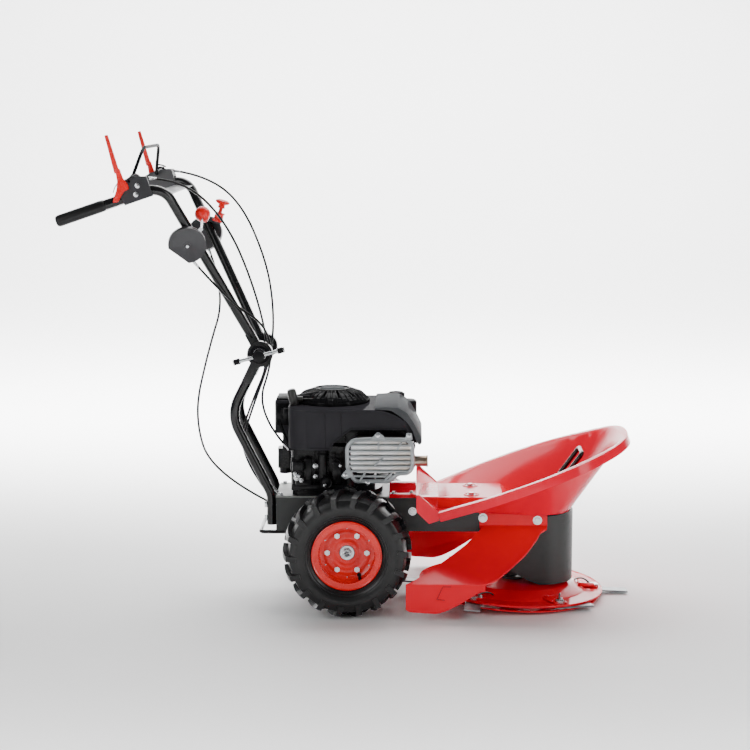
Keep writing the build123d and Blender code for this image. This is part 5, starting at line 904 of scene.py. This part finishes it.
class MOWER_OT_engine_side(bpy.types.Operator):
    """Crankcase fittings, muffler guard, bolts and plug lead on the engine's right side"""
    bl_idname = "mower.engine_side"
    bl_label = "Engine side"

    def execute(self, context):
        bm = bmesh.new()
        block(bm, (-142, -112, 370), (30, 34, 26), 3.0)
        block(bm, (-116, -98, 352), (20, 26, 74), 3.0)
        for x in (-100, -82, -64, -46, -28):
            block(bm, (x, -103, 356), (3.2, 9.0, 92), 1.0)
        block(bm, (-40, -110, 352), (26, 22, 60), 4.0)
        drum(bm, (-68, -100, 329), (-68, -130, 329), 17.0, 15.5, 32, 2.4)
        turned(bm, [(0, 11.0), (2.4, 12.6), (3.2, 15.0), (0.4, 16.2)], (-68, -129.5, 329), RIGHT, 36,
               closed=True)
        block(bm, (-86, -104, 312), (150, 24, 16), 4.0)
        block(bm, (-128, -104, 320), (44, 20, 26), 4.0)
        tube(bm, [(-158, -96, 388), (-160, -112, 360), (-150, -118, 338), (-124, -116, 334)], 3.2, 10.0, 10)
        tube(bm, [(-56, -112, 394), (-30, -124, 386), (-18, -122, 350), (-24, -112, 316)], 3.0, 12.0, 10)
        piece("crankcase_fittings", bm, "engine_black", "frame", sharp=32)

        bm = bmesh.new()
        for x, y, z, r in ((-145, -129, 341, 6.0), (-133, -129, 334, 4.0), (-97, -108, 369, 5.0),
                           (-97, -108, 341, 4.6), (-150, -125, 352, 3.6), (-30, -121, 372, 3.6)):
            bolt(bm, (x, y, z), RIGHT, r, 4.0, r * 1.35)
        drum(bm, (-71, -128, 322), (-71, -138, 322), 5.4, sides=6, edge=0.8)
        drum(bm, (-141, -118, 346), (-141, -134, 346), 5.0, sides=20, edge=0.8)
        tube(bm, [(-152, -130, 349), (-146, -134, 344), (-136, -134, 340), (-128, -128, 338)], 1.6, 3.0, 8)
        for x in (-150, -6):
            for y in (-70, 70):
                bolt(bm, (x, y, CRANKCASE_FOOT), UP, 6.0, 5.0, 8.5)
        piece("crankcase_bolts", bm, "zinc", "frame")

        # dark inner housing with fins closing the view under the shroud and under the head: it stands in for
        # the engine's hidden inner body and paints the shade seen in these gaps
        bm = bmesh.new()
        block(bm, (52, -72, 449), (214, 5, 52), 2.0)
        block(bm, (34, 0, 314), (48, 120, 54), 4.0)
        block(bm, (62, 0, 440), (180, 130, 30), 4.0)
        for x in (-20, 12, 44, 76, 108, 140):
            block(bm, (x, -76, 449), (3, 6, 44), 1.0)
        piece("inner_housing", bm, "engine_black", "frame")

        # guard: round outer bar, folded rim, slats, tabs and stays
        bar = context.scene.mower_sizes.guard_bar * 500.0
        bm = bmesh.new()
        face = GUARD_FACE + bar
        loop = [(x, face, z) for x, z in rounded(GUARD_OUTLINE, 9.0, 4)]
        tube(bm, loop, bar, 0.0, 12, True)
        rim = drawn_sheet(bm, loop, (0, 17.0, 0), closed=True)
        walls = [f for v in rim for f in v.link_faces]
        bmesh.ops.solidify(bm, geom=list(set(walls)), thickness=1.6)
        for z, rear, front in GUARD_SLATS:
            block(bm, ((rear + front) / 2, face, z), (front - rear, 5.0, 5.6), 1.6)
        for outline, corner in GUARD_TABS:
            side_plate(bm, rounded(outline, corner, 2), GUARD_BACK, 3.0, 0.7)
        for x0, z0, x1, z1 in GUARD_STAYS:
            a, b = Vector((x0, GUARD_FACE, z0)), Vector((x1, GUARD_FACE, z1))
            way = b - a
            block(bm, (a + b) / 2, (5.0, 3.4, way.length + 3.0), 1.0,
                  Matrix.Rotation(-way.angle(Vector(UP)) * (-1 if way.x > 0 else 1), 4, "Y"))
        piece("guard_bars", bm, "guard_silver", "frame", ("muffler_guard",))
        bm = bmesh.new()
        for x, z in ((68, 466), (148, 466), (42, 342), (-15, 362)):
            bolt(bm, (x, GUARD_FACE - 0.2, z), RIGHT, 3.8, 2.6, 5.6)
        piece("guard_bolts", bm, "zinc", "frame")

        # heat-coloured end of the exhaust pipe, and the ring behind it
        bm = bmesh.new()
        for ring, at in ((PIPE_LIP, PIPE_END), (PIPE_COLLAR, PIPE_SLEEVE)):
            turned(bm, ring, at, FRONT, 36, closed=True)
        piece("exhaust_lip", bm, "muffler_tin", "frame")

        # spark plug lead
        bm = bmesh.new()
        drum(bm, (118, 0, 385), (146, 0, 385), 10.0, 8.5, 24, 1.6)
        tube(bm, [(142, 0, 385), (160, 0, 392), (164, -20, 412), (140, -40, 424), (100, -46, 428)], 3.4, 12.0,
             12)
        piece("plug_lead", bm, "soft_black", "frame")

        # bolts of the belt guard's flange and of the engine plate
        bm = bmesh.new()
        for y in (-80, 80):
            bolt(bm, (108, y, BELT_GUARD_FLANGE), UP, 5.0, 4.0, 8.0)
        bolt(bm, (156, -70, BELT_GUARD_FLANGE), UP, 4.4, 3.6, 7.0)
        for side in (-1, 1):
            bolt(bm, (-60, side * 82, PLATE_TOP), UP, 5.4, 4.6, 8.0)
            bolt(bm, (-190, side * 78, PLATE_TOP), UP, 5.4, 4.6, 8.0)
        piece("plate_bolts", bm, "zinc", "frame")
        return {"FINISHED"}


# ---------------------------------------------------------------- cutter
DISC_CENTRE = Vector((423.0, 0.0, 30.0))
DISC_TILT = radians(3.0)
FIRST_KNIFE = 2.0                 # degrees from the front
DISC_HEM = ((0.4, 243.5), (1.6, 244.6), (1.6, 247.0), (0.2, 247.6), (-1.6, 247.2), (-3.0, 246.0),
            (-3.0, 243.5))


def on_disc(radius, turn, height):
    """Point above the cutting disc's top, with the disc's own tilt."""
    flat = Vector((radius * cos(turn), radius * sin(turn), height))
    return DISC_CENTRE + Matrix.Rotation(DISC_TILT, 3, "Y") @ flat


class MOWER_OT_cutter(bpy.types.Operator):
    """Knife clips, latch rods and bolts on the cutting disc, and the disc's hem"""
    bl_idname = "mower.cutter"
    bl_label = "Cutter details"

    def execute(self, context):
        clips, bolts, yellow, rods = (bmesh.new() for _ in range(4))
        tilt = Matrix.Rotation(DISC_TILT, 4, "Y")
        for i in range(6):
            turn = radians(FIRST_KNIFE + 60.0 * i)
            away = tilt @ Matrix.Rotation(turn, 4, "Z")
            block(clips, on_disc(207.0, turn, 3.4), (50.0, 40.0, 2.6), 1.0, away)
            block(clips, on_disc(184.0, turn, 8.0), (3.0, 40.0, 10.0), 1.0, away)
            lip = away @ Matrix.Rotation(radians(-62.0), 4, "X")
            block(clips, on_disc(205.0, turn - 0.10, 9.0), (40.0, 3.0, 13.0), 1.0, lip)
            bolt(bolts, on_disc(212.0, turn + 0.06, 4.8), away @ Vector(UP), 5.0, 4.4, 7.4)
            block(yellow, on_disc(234.0, turn - 0.03, -1.8), (20.0, 26.0, 2.4), 0.8, away)
            tube(rods, [on_disc(176.0, turn + 0.20, 3.0), on_disc(186.0, turn + 0.16, 14.0),
                        on_disc(200.0, turn + 0.09, 17.0), on_disc(212.0, turn + 0.03, 10.0)], 2.2, 8.0, 10)
        piece("knife_clips", clips, "gloss_red", "cutter")
        piece("clip_bolts", bolts, "zinc", "cutter")
        piece("clip_plates", yellow, "yellow_zinc", "cutter")
        piece("latch_rods", rods, "dark_steel", "cutter")

        # rolled hem round the disc's edge
        bm = bmesh.new()
        turned(bm, DISC_HEM, DISC_CENTRE, Matrix.Rotation(DISC_TILT, 3, "Y") @ Vector(UP), 120, closed=True)
        piece("disc_hem", bm, "gloss_red", "cutter")
        return {"FINISHED"}


# ---------------------------------------------------------------- controls
LEVER_ROOT = ((-582, 1150), (-571, 1152), (-563, 1128), (-551, 1112), (-548, 1101), (-561, 1094),
              (-568, 1082), (-576, 1068), (-589, 1067), (-585, 1082), (-579, 1099), (-577, 1120))
LEVER_FOOT = (-577.0, 1140.0)
LEVER_TIP = (-602.5, 1234.0)
HOUSING_FLAT = 35.0               # from a control disc's centre to its flat lower edge
BAIL_FOOT = Vector((-550.0, 0.0, 1119.0))
BAIL_TOP = Vector((-530.0, 0.0, 1200.0))
GRIP_SLEEVE = ((-6.0, 0.01), (-6.0, 8.0), (-4.6, 11.6), (-1.0, 14.0), (4.0, 14.9), (112.0, 14.9),
               (120.0, 14.2), (122.0, 12.7))
CLAMP_X, CLAMP_Z = -242.0, 662.0
CLAMP_WASHER = ((0.0, 8.0), (0.0, 22.0), (-2.6, 25.0), (-6.0, 25.6), (-7.4, 22.0), (-7.4, 18.0))
BALL_CENTRE = Vector((-379.0, -165.0, 1032.0))
BALL_RADIUS = 20.0
BALL_AXIS = Vector((-36.6, 37.7, 72.3))
STOP_FOOT = Vector((-379.0, 190.0, 985.0))
STOP_AXIS = Vector((0.26, 0.0, 0.966))
STOP_COLLAR = ((6.0, 10.1), (6.0, 16.0), (10.0, 17.0), (12.0, 13.0), (26.0, 12.0), (28.0, 15.0),
               (31.0, 14.0), (31.0, 10.1))
STOP_HEAD = ((44.0, 5.05), (44.0, 9.6), (53.0, 9.0), (56.5, 17.0), (60.0, 20.0), (64.0, 18.6),
             (67.0, 12.0), (68.0, 0.01))


class MOWER_OT_controls(bpy.types.Operator):
    """Levers, dead man's bar, grips, ball knob, stop and clamp, with their wires, springs and screws"""
    bl_idname = "mower.controls"
    bl_label = "Control details"

    def execute(self, context):
        steel, black, wires = bmesh.new(), bmesh.new(), bmesh.new()
        for _, side in SIDES:
            for x, z in ((-532, 1087), (-528, 1109)):
                bolt(steel, (x, side * 276.5, z), (0, side, 0), 4.2, 3.6, 6.4)
            tube(wires, [(x, side * y, z) for x, y, z in (
                (-589, 275.0, 1091), (-585, 275.0, 1104), (-576, 275.0, 1118), (-560, 270.0, 1122),
                (-540, 262.0, 1134), (-524, 256.0, 1130))], 1.5, 6.0, 8)
            for k in range(7):
                coil = Vector((-548 + k * 2.6, side * 262.0, 1124 + k * 1.8))
                turned(wires, [(-0.9, 4.2), (0.0, 5.1), (0.9, 4.2), (0.0, 3.3)], coil, (0.82, 0, 0.57), 20,
                       closed=True)
            tube(black, [(x, side * 246.0, z) for x, z in (
                (-556, 1122), (-541, 1138), (-528, 1132), (-519, 1118))], 3.0, 6.0, 10)
            block(black, (-516, side * 262.0, 1116), (16, 18, 14), 2.4)
        piece("control_bolts", steel, "zinc", "handle")
        piece("return_wires", wires, "dark_steel", "handle")
        piece("lever_catches", black, "soft_black", "handle")

        # control discs with their flat lower edge, and the centre screws
        bm = merged("control_discs")
        screws = bmesh.new()
        for _, side in SIDES:
            centre = Vector((-415.605, side * 202.692, 959.687))
            out = Vector((0.1681, side * 0.9286, -0.3309)).normalized()
            down = Vector((-0.62, 0.0, -0.78))
            down = (down - out * down.dot(out)).normalized()
            own = [v for v in bm.verts if v.co.y * side > 0]
            own += [g for kind in (bm.edges, bm.faces) for g in kind if g.verts[0].co.y * side > 0]
            cut = bmesh.ops.bisect_plane(bm, geom=own, plane_co=centre + down * HOUSING_FLAT, plane_no=down,
                                         clear_outer=True)["geom_cut"]
            bmesh.ops.edgeloop_fill(bm, edges=[g for g in cut if isinstance(g, bmesh.types.BMEdge)])
            seat = centre + out * 15.3
            drum(screws, seat, seat + out * 2.0, 7.0, sides=28, edge=0.6)
            bolt(screws, seat + out * 1.8, out, 4.4, 3.4)
        housings = piece("disc_housings", bm, "bracket_grey", "handle", ("control_discs",))
        eased(housings, 0.0012)
        piece("disc_screws", screws, "zinc", "handle")

        # dead man's bar: bent rod with easy corners and its small stop
        bends = [BAIL_FOOT + Vector((0, -251, 0)), BAIL_FOOT + Vector((0, -232, 0)),
                 BAIL_TOP + Vector((0, -150, 0)), BAIL_TOP + Vector((0, 150, 0)),
                 BAIL_FOOT + Vector((0, 232, 0)), BAIL_FOOT + Vector((0, 251, 0))]
        bm = bmesh.new()
        tube(bm, bends, 4.4, [0.0, 12.0, 34.0, 34.0, 12.0, 0.0], 16, steps=8)
        leg = BAIL_FOOT.lerp(BAIL_TOP, 0.32) + Vector((0, 206, 0))
        tube(bm, [leg, leg + Vector((14, 0, -1)), leg + Vector((24, 0, -6))], 2.3, 6.0, 10)
        piece("bail_rod", bm, "soft_black", "dead_man_bar", ("dead_man_bar",))

        # grips: plain sleeves with rounded ends
        bm = bmesh.new()
        for _, side in SIDES:
            turned(bm, GRIP_SLEEVE, Vector((-726.0, side * 284.0, 1021.0)),
                   Vector((257.0, -side * 32.0, 88.0)).normalized(), 40)
        piece("grip_sleeves", bm, "grip_rubber", "handle", ("handle_grips",))

        # tilt clamp: black ends on the bar, and a dark cap over the washer
        bm = bmesh.new()
        lean = spoke(15.0)
        pin = Vector((CLAMP_X, -128.0, CLAMP_Z))
        for way in (-1, 1):
            tip = pin + lean * 66.0 * way
            drum(bm, tip - lean * 15.0 * way, tip + lean * 3.0 * way, 8.3, 7.4, 24, 1.6)
        turned(bm, CLAMP_WASHER, (CLAMP_X, -99.0, CLAMP_Z), RIGHT, 48, closed=True)
        drum(bm, (CLAMP_X, -114.0, CLAMP_Z), (CLAMP_X, -138.0, CLAMP_Z), 16.5, 15.0, 36, 2.2)
        piece("clamp_caps", bm, "soft_black", "clamp")

        # squeeze levers: broad root with a hook below, tapering to the tip
        for name, side in SIDES:
            bm = bmesh.new()
            place = basis((0, side * 277.5, 0), (0, side, 0), FRONT)
            plate(bm, [(x, -side * z) for x, z in rounded(LEVER_ROOT, 3.0, 3)], place, 9.0, 2.4, 3)
            drum(bm, (LEVER_FOOT[0], side * 282.0, LEVER_FOOT[1]), (LEVER_TIP[0], side * 283.0, LEVER_TIP[1]),
                 7.2, 4.6, 24, 2.0)
            piece(f"{name}_lever_arm", bm, "lever_red", f"{name}_lever", (f"{name}_lever",))

        # ball knob, and the stop's red collar and mushroom head
        bm = bmesh.new()
        half_turn = [k * pi / 14 for k in range(15)]
        turned(bm, [(-BALL_RADIUS * cos(turn), max(0.01, BALL_RADIUS * sin(turn))) for turn in half_turn],
               BALL_CENTRE, BALL_AXIS, 36)
        stem = BALL_AXIS.normalized()
        drum(bm, BALL_CENTRE + stem * -21.0, BALL_CENTRE + stem * -12.0, 8.0, 11.0, 28, 1.0)
        piece("ball_knob", bm, "lever_red", "ball_lever")
        up = STOP_AXIS.normalized()
        bm = bmesh.new()
        turned(bm, STOP_COLLAR, STOP_FOOT, up, 40, closed=True)
        piece("stop_collar", bm, "lever_red", "handle")
        bm = bmesh.new()
        turned(bm, STOP_HEAD, STOP_FOOT, up, 40)
        piece("stop_knob", bm, "lever_red", "stop_plunger", ("stop_plunger",))
        bm = bmesh.new()
        drum(bm, STOP_FOOT + up * 10.0, STOP_FOOT + up * 48.0, 5.0, sides=24)
        piece("stop_stem", bm, "lever_red", "stop_plunger")
        return {"FINISHED"}


# ---------------------------------------------------------------- cover and deflectors
RIM_X, RIM_Z, RIM_SLOPE = 223.0, 265.0, 0.36
DEFLECTOR_FACE = 91.3
DEFLECTOR_SLOTS = ((497, 240, 14.0), (487, 213, 16.0), (481, 206, 12.0))    # x, z, width
TAB_CORNERS = ((257, 95), (236, 95), (221, 62), (241, 60))
SEAL_X, SEAL_Z = 462.0, 236.5


def rounded_deflector(node):
    """Copy of a deflector's mesh with its small lower corners well rounded."""
    bm = merged(node)
    foot = min(v.co.z for v in bm.verts)
    join_facets(bm)
    round_edges(bm, [e for e in bm.edges if e.calc_length() < 7.0 and len(e.link_faces) == 2
                     and all(v.co.z < foot + 20.0 for v in e.verts)
                     and abs(e.verts[0].co.y - e.verts[1].co.y) > 2.5], 9.0, 5)
    return bm


def rounded_tub():
    """Copy of the cover's mesh with its rim's edges well rounded."""
    bm = merged("tub")
    join_facets(bm, 0.6)
    rim = []
    for edge in bm.edges:
        spot = (edge.verts[0].co + edge.verts[1].co) / 2
        near = abs(spot.z - (RIM_Z + RIM_SLOPE * (spot.x - RIM_X))) < 1.5
        if near and spot.x > RIM_X and len(edge.link_faces) == 2 and edge.calc_face_angle(0.0) > radians(40):
            rim.append(edge)
    round_edges(bm, rim, 4.6, 4)
    return bm


class MOWER_OT_cover(bpy.types.Operator):
    """Smooth scoop cover and deflectors with rounded sheet edges, and their small fittings"""
    bl_idname = "mower.cover"
    bl_label = "Cover and deflectors"

    def execute(self, context):
        edge = context.scene.mower_sizes.edge_round
        for node, sheet in (("right_deflector", rounded_deflector), ("left_deflector", rounded_deflector),
                            ("belt_guard", merged)):
            eased(piece(f"{node}_sheet", sheet(node), "gloss_red", "frame", (node,)), edge)
        piece("tub_sheet", rounded_tub(), "cover_red", "frame", ("tub",), sharp=34)

        # rubber edge under the cover's front
        turns = [radians(-64.0 + k * 128.0 / 12) for k in range(13)]
        bm = bmesh.new()
        tube(bm, [(SEAL_X + 118.0 * cos(turn), 112.0 * sin(turn), SEAL_Z) for turn in turns], 2.4, 6.0, 8)
        piece("cover_seal", bm, "soft_black", "frame")

        # dimpled seats round the two bolts on the saddle
        bm = bmesh.new()
        for _, side in SIDES:
            turned(bm, [(0.0, 15.5), (1.6, 16.6), (1.8, 19.0), (0.0, 21.5), (-0.6, 18.0)],
                   (314.0, side * 58.0, 283.4), UP, 40, closed=True)
        piece("saddle_seats", bm, "cover_red", "frame")

        # slots on the deflectors, and thin dark red lines on the tab's outline that paint the shade at its
        # edges
        bright, shade_lines = bmesh.new(), bmesh.new()
        for name, side in SIDES:
            place = basis((0, side * DEFLECTOR_FACE, 0), (0, side, 0), FRONT)
            for x, z, wide in DEFLECTOR_SLOTS:
                outline = [(x + dx * wide / 2, -side * (z + dz)) for dx, dz in (
                    (-1, -1.6), (1, -1.6), (1, 1.6), (-1, 1.6))]
                plate(bright, rounded(outline, 1.4, 3), place, 0.5, 0.2)
            node = f"{name}_deflector"
            solid = merged(node)
            tree = BVHTree.FromBMesh(solid)
            solid.free()
            marks = []
            for x, z in TAB_CORNERS:
                hit = tree.ray_cast(Vector((x, side * 320.0, z)), Vector((0, -side, 0)))[0]
                if hit is None:
                    raise RuntimeError(f"{node} has no sheet at {x}, {z}")
                marks.append(hit)
            for a, b in zip(marks, marks[1:]):
                block(shade_lines, (a + b) / 2, (0.5, 1.5, (b - a).length), 0.0, basis(ORIGIN, b - a, (0, 1, 0)))
        piece("tab_seams", shade_lines, "seam_red", "frame")
        piece("deflector_slots", bright, "pale_plate", "frame")
        return {"FINISHED"}


class MOWER_OT_beam(bpy.types.Operator):
    """Chassis beam, engine shroud and fuel tank with smooth rounded edges"""
    bl_idname = "mower.beam"
    bl_label = "Beam, shroud and tank"

    def execute(self, context):
        beam = merged("chassis_beam")
        join_facets(beam)
        eased(piece("beam_sheet", beam, "powder_grey", "frame",
                    ("chassis_beam",), sharp=34), 0.0008)
        eased(piece("shroud_shell", merged("engine_shroud"), "shroud_grey", "frame",
                    ("engine_shroud",), sharp=34), 0.0014, 3)
        eased(piece("tank_shell", merged("fuel_tank"), "soft_black", "frame",
                    ("fuel_tank",)), 0.0014, 3)
        return {"FINISHED"}


# ---------------------------------------------------------------- add-on
OPERATORS = (MOWER_OT_stage, MOWER_OT_cables, MOWER_OT_finishes, MOWER_OT_wheels, MOWER_OT_engine_top,
             MOWER_OT_engine_side, MOWER_OT_cutter, MOWER_OT_controls, MOWER_OT_cover, MOWER_OT_beam)
SETTINGS = {"mower_paints": MowerPaints, "mower_sizes": MowerSizes, "mower_stage": MowerStage}


class MOWER_PT_panel(bpy.types.Panel):
    """Buttons and settings in the 3D view's sidebar"""
    bl_idname = "MOWER_PT_panel"
    bl_label = "Brush mower"
    bl_space_type = "VIEW_3D"
    bl_region_type = "UI"
    bl_category = "Mower"

    def draw(self, context):
        column = self.layout.column()
        for operator in OPERATORS:
            column.operator(operator.bl_idname)
        for name, kind in SETTINGS.items():
            for setting in kind.__annotations__:
                column.prop(getattr(context.scene, name), setting)


CLASSES = (*SETTINGS.values(), *OPERATORS, MOWER_PT_panel)


def register():
    for kind in CLASSES:
        bpy.utils.register_class(kind)
    for name, kind in SETTINGS.items():
        setattr(bpy.types.Scene, name, PointerProperty(type=kind))


def unregister():
    for name in SETTINGS:
        delattr(bpy.types.Scene, name)
    for kind in reversed(CLASSES):
        bpy.utils.unregister_class(kind)


def main():
    register()
    for operator in OPERATORS:
        area, name = operator.bl_idname.split(".")
        getattr(getattr(bpy.ops, area), name)()


if __name__ == "__main__":
    main()
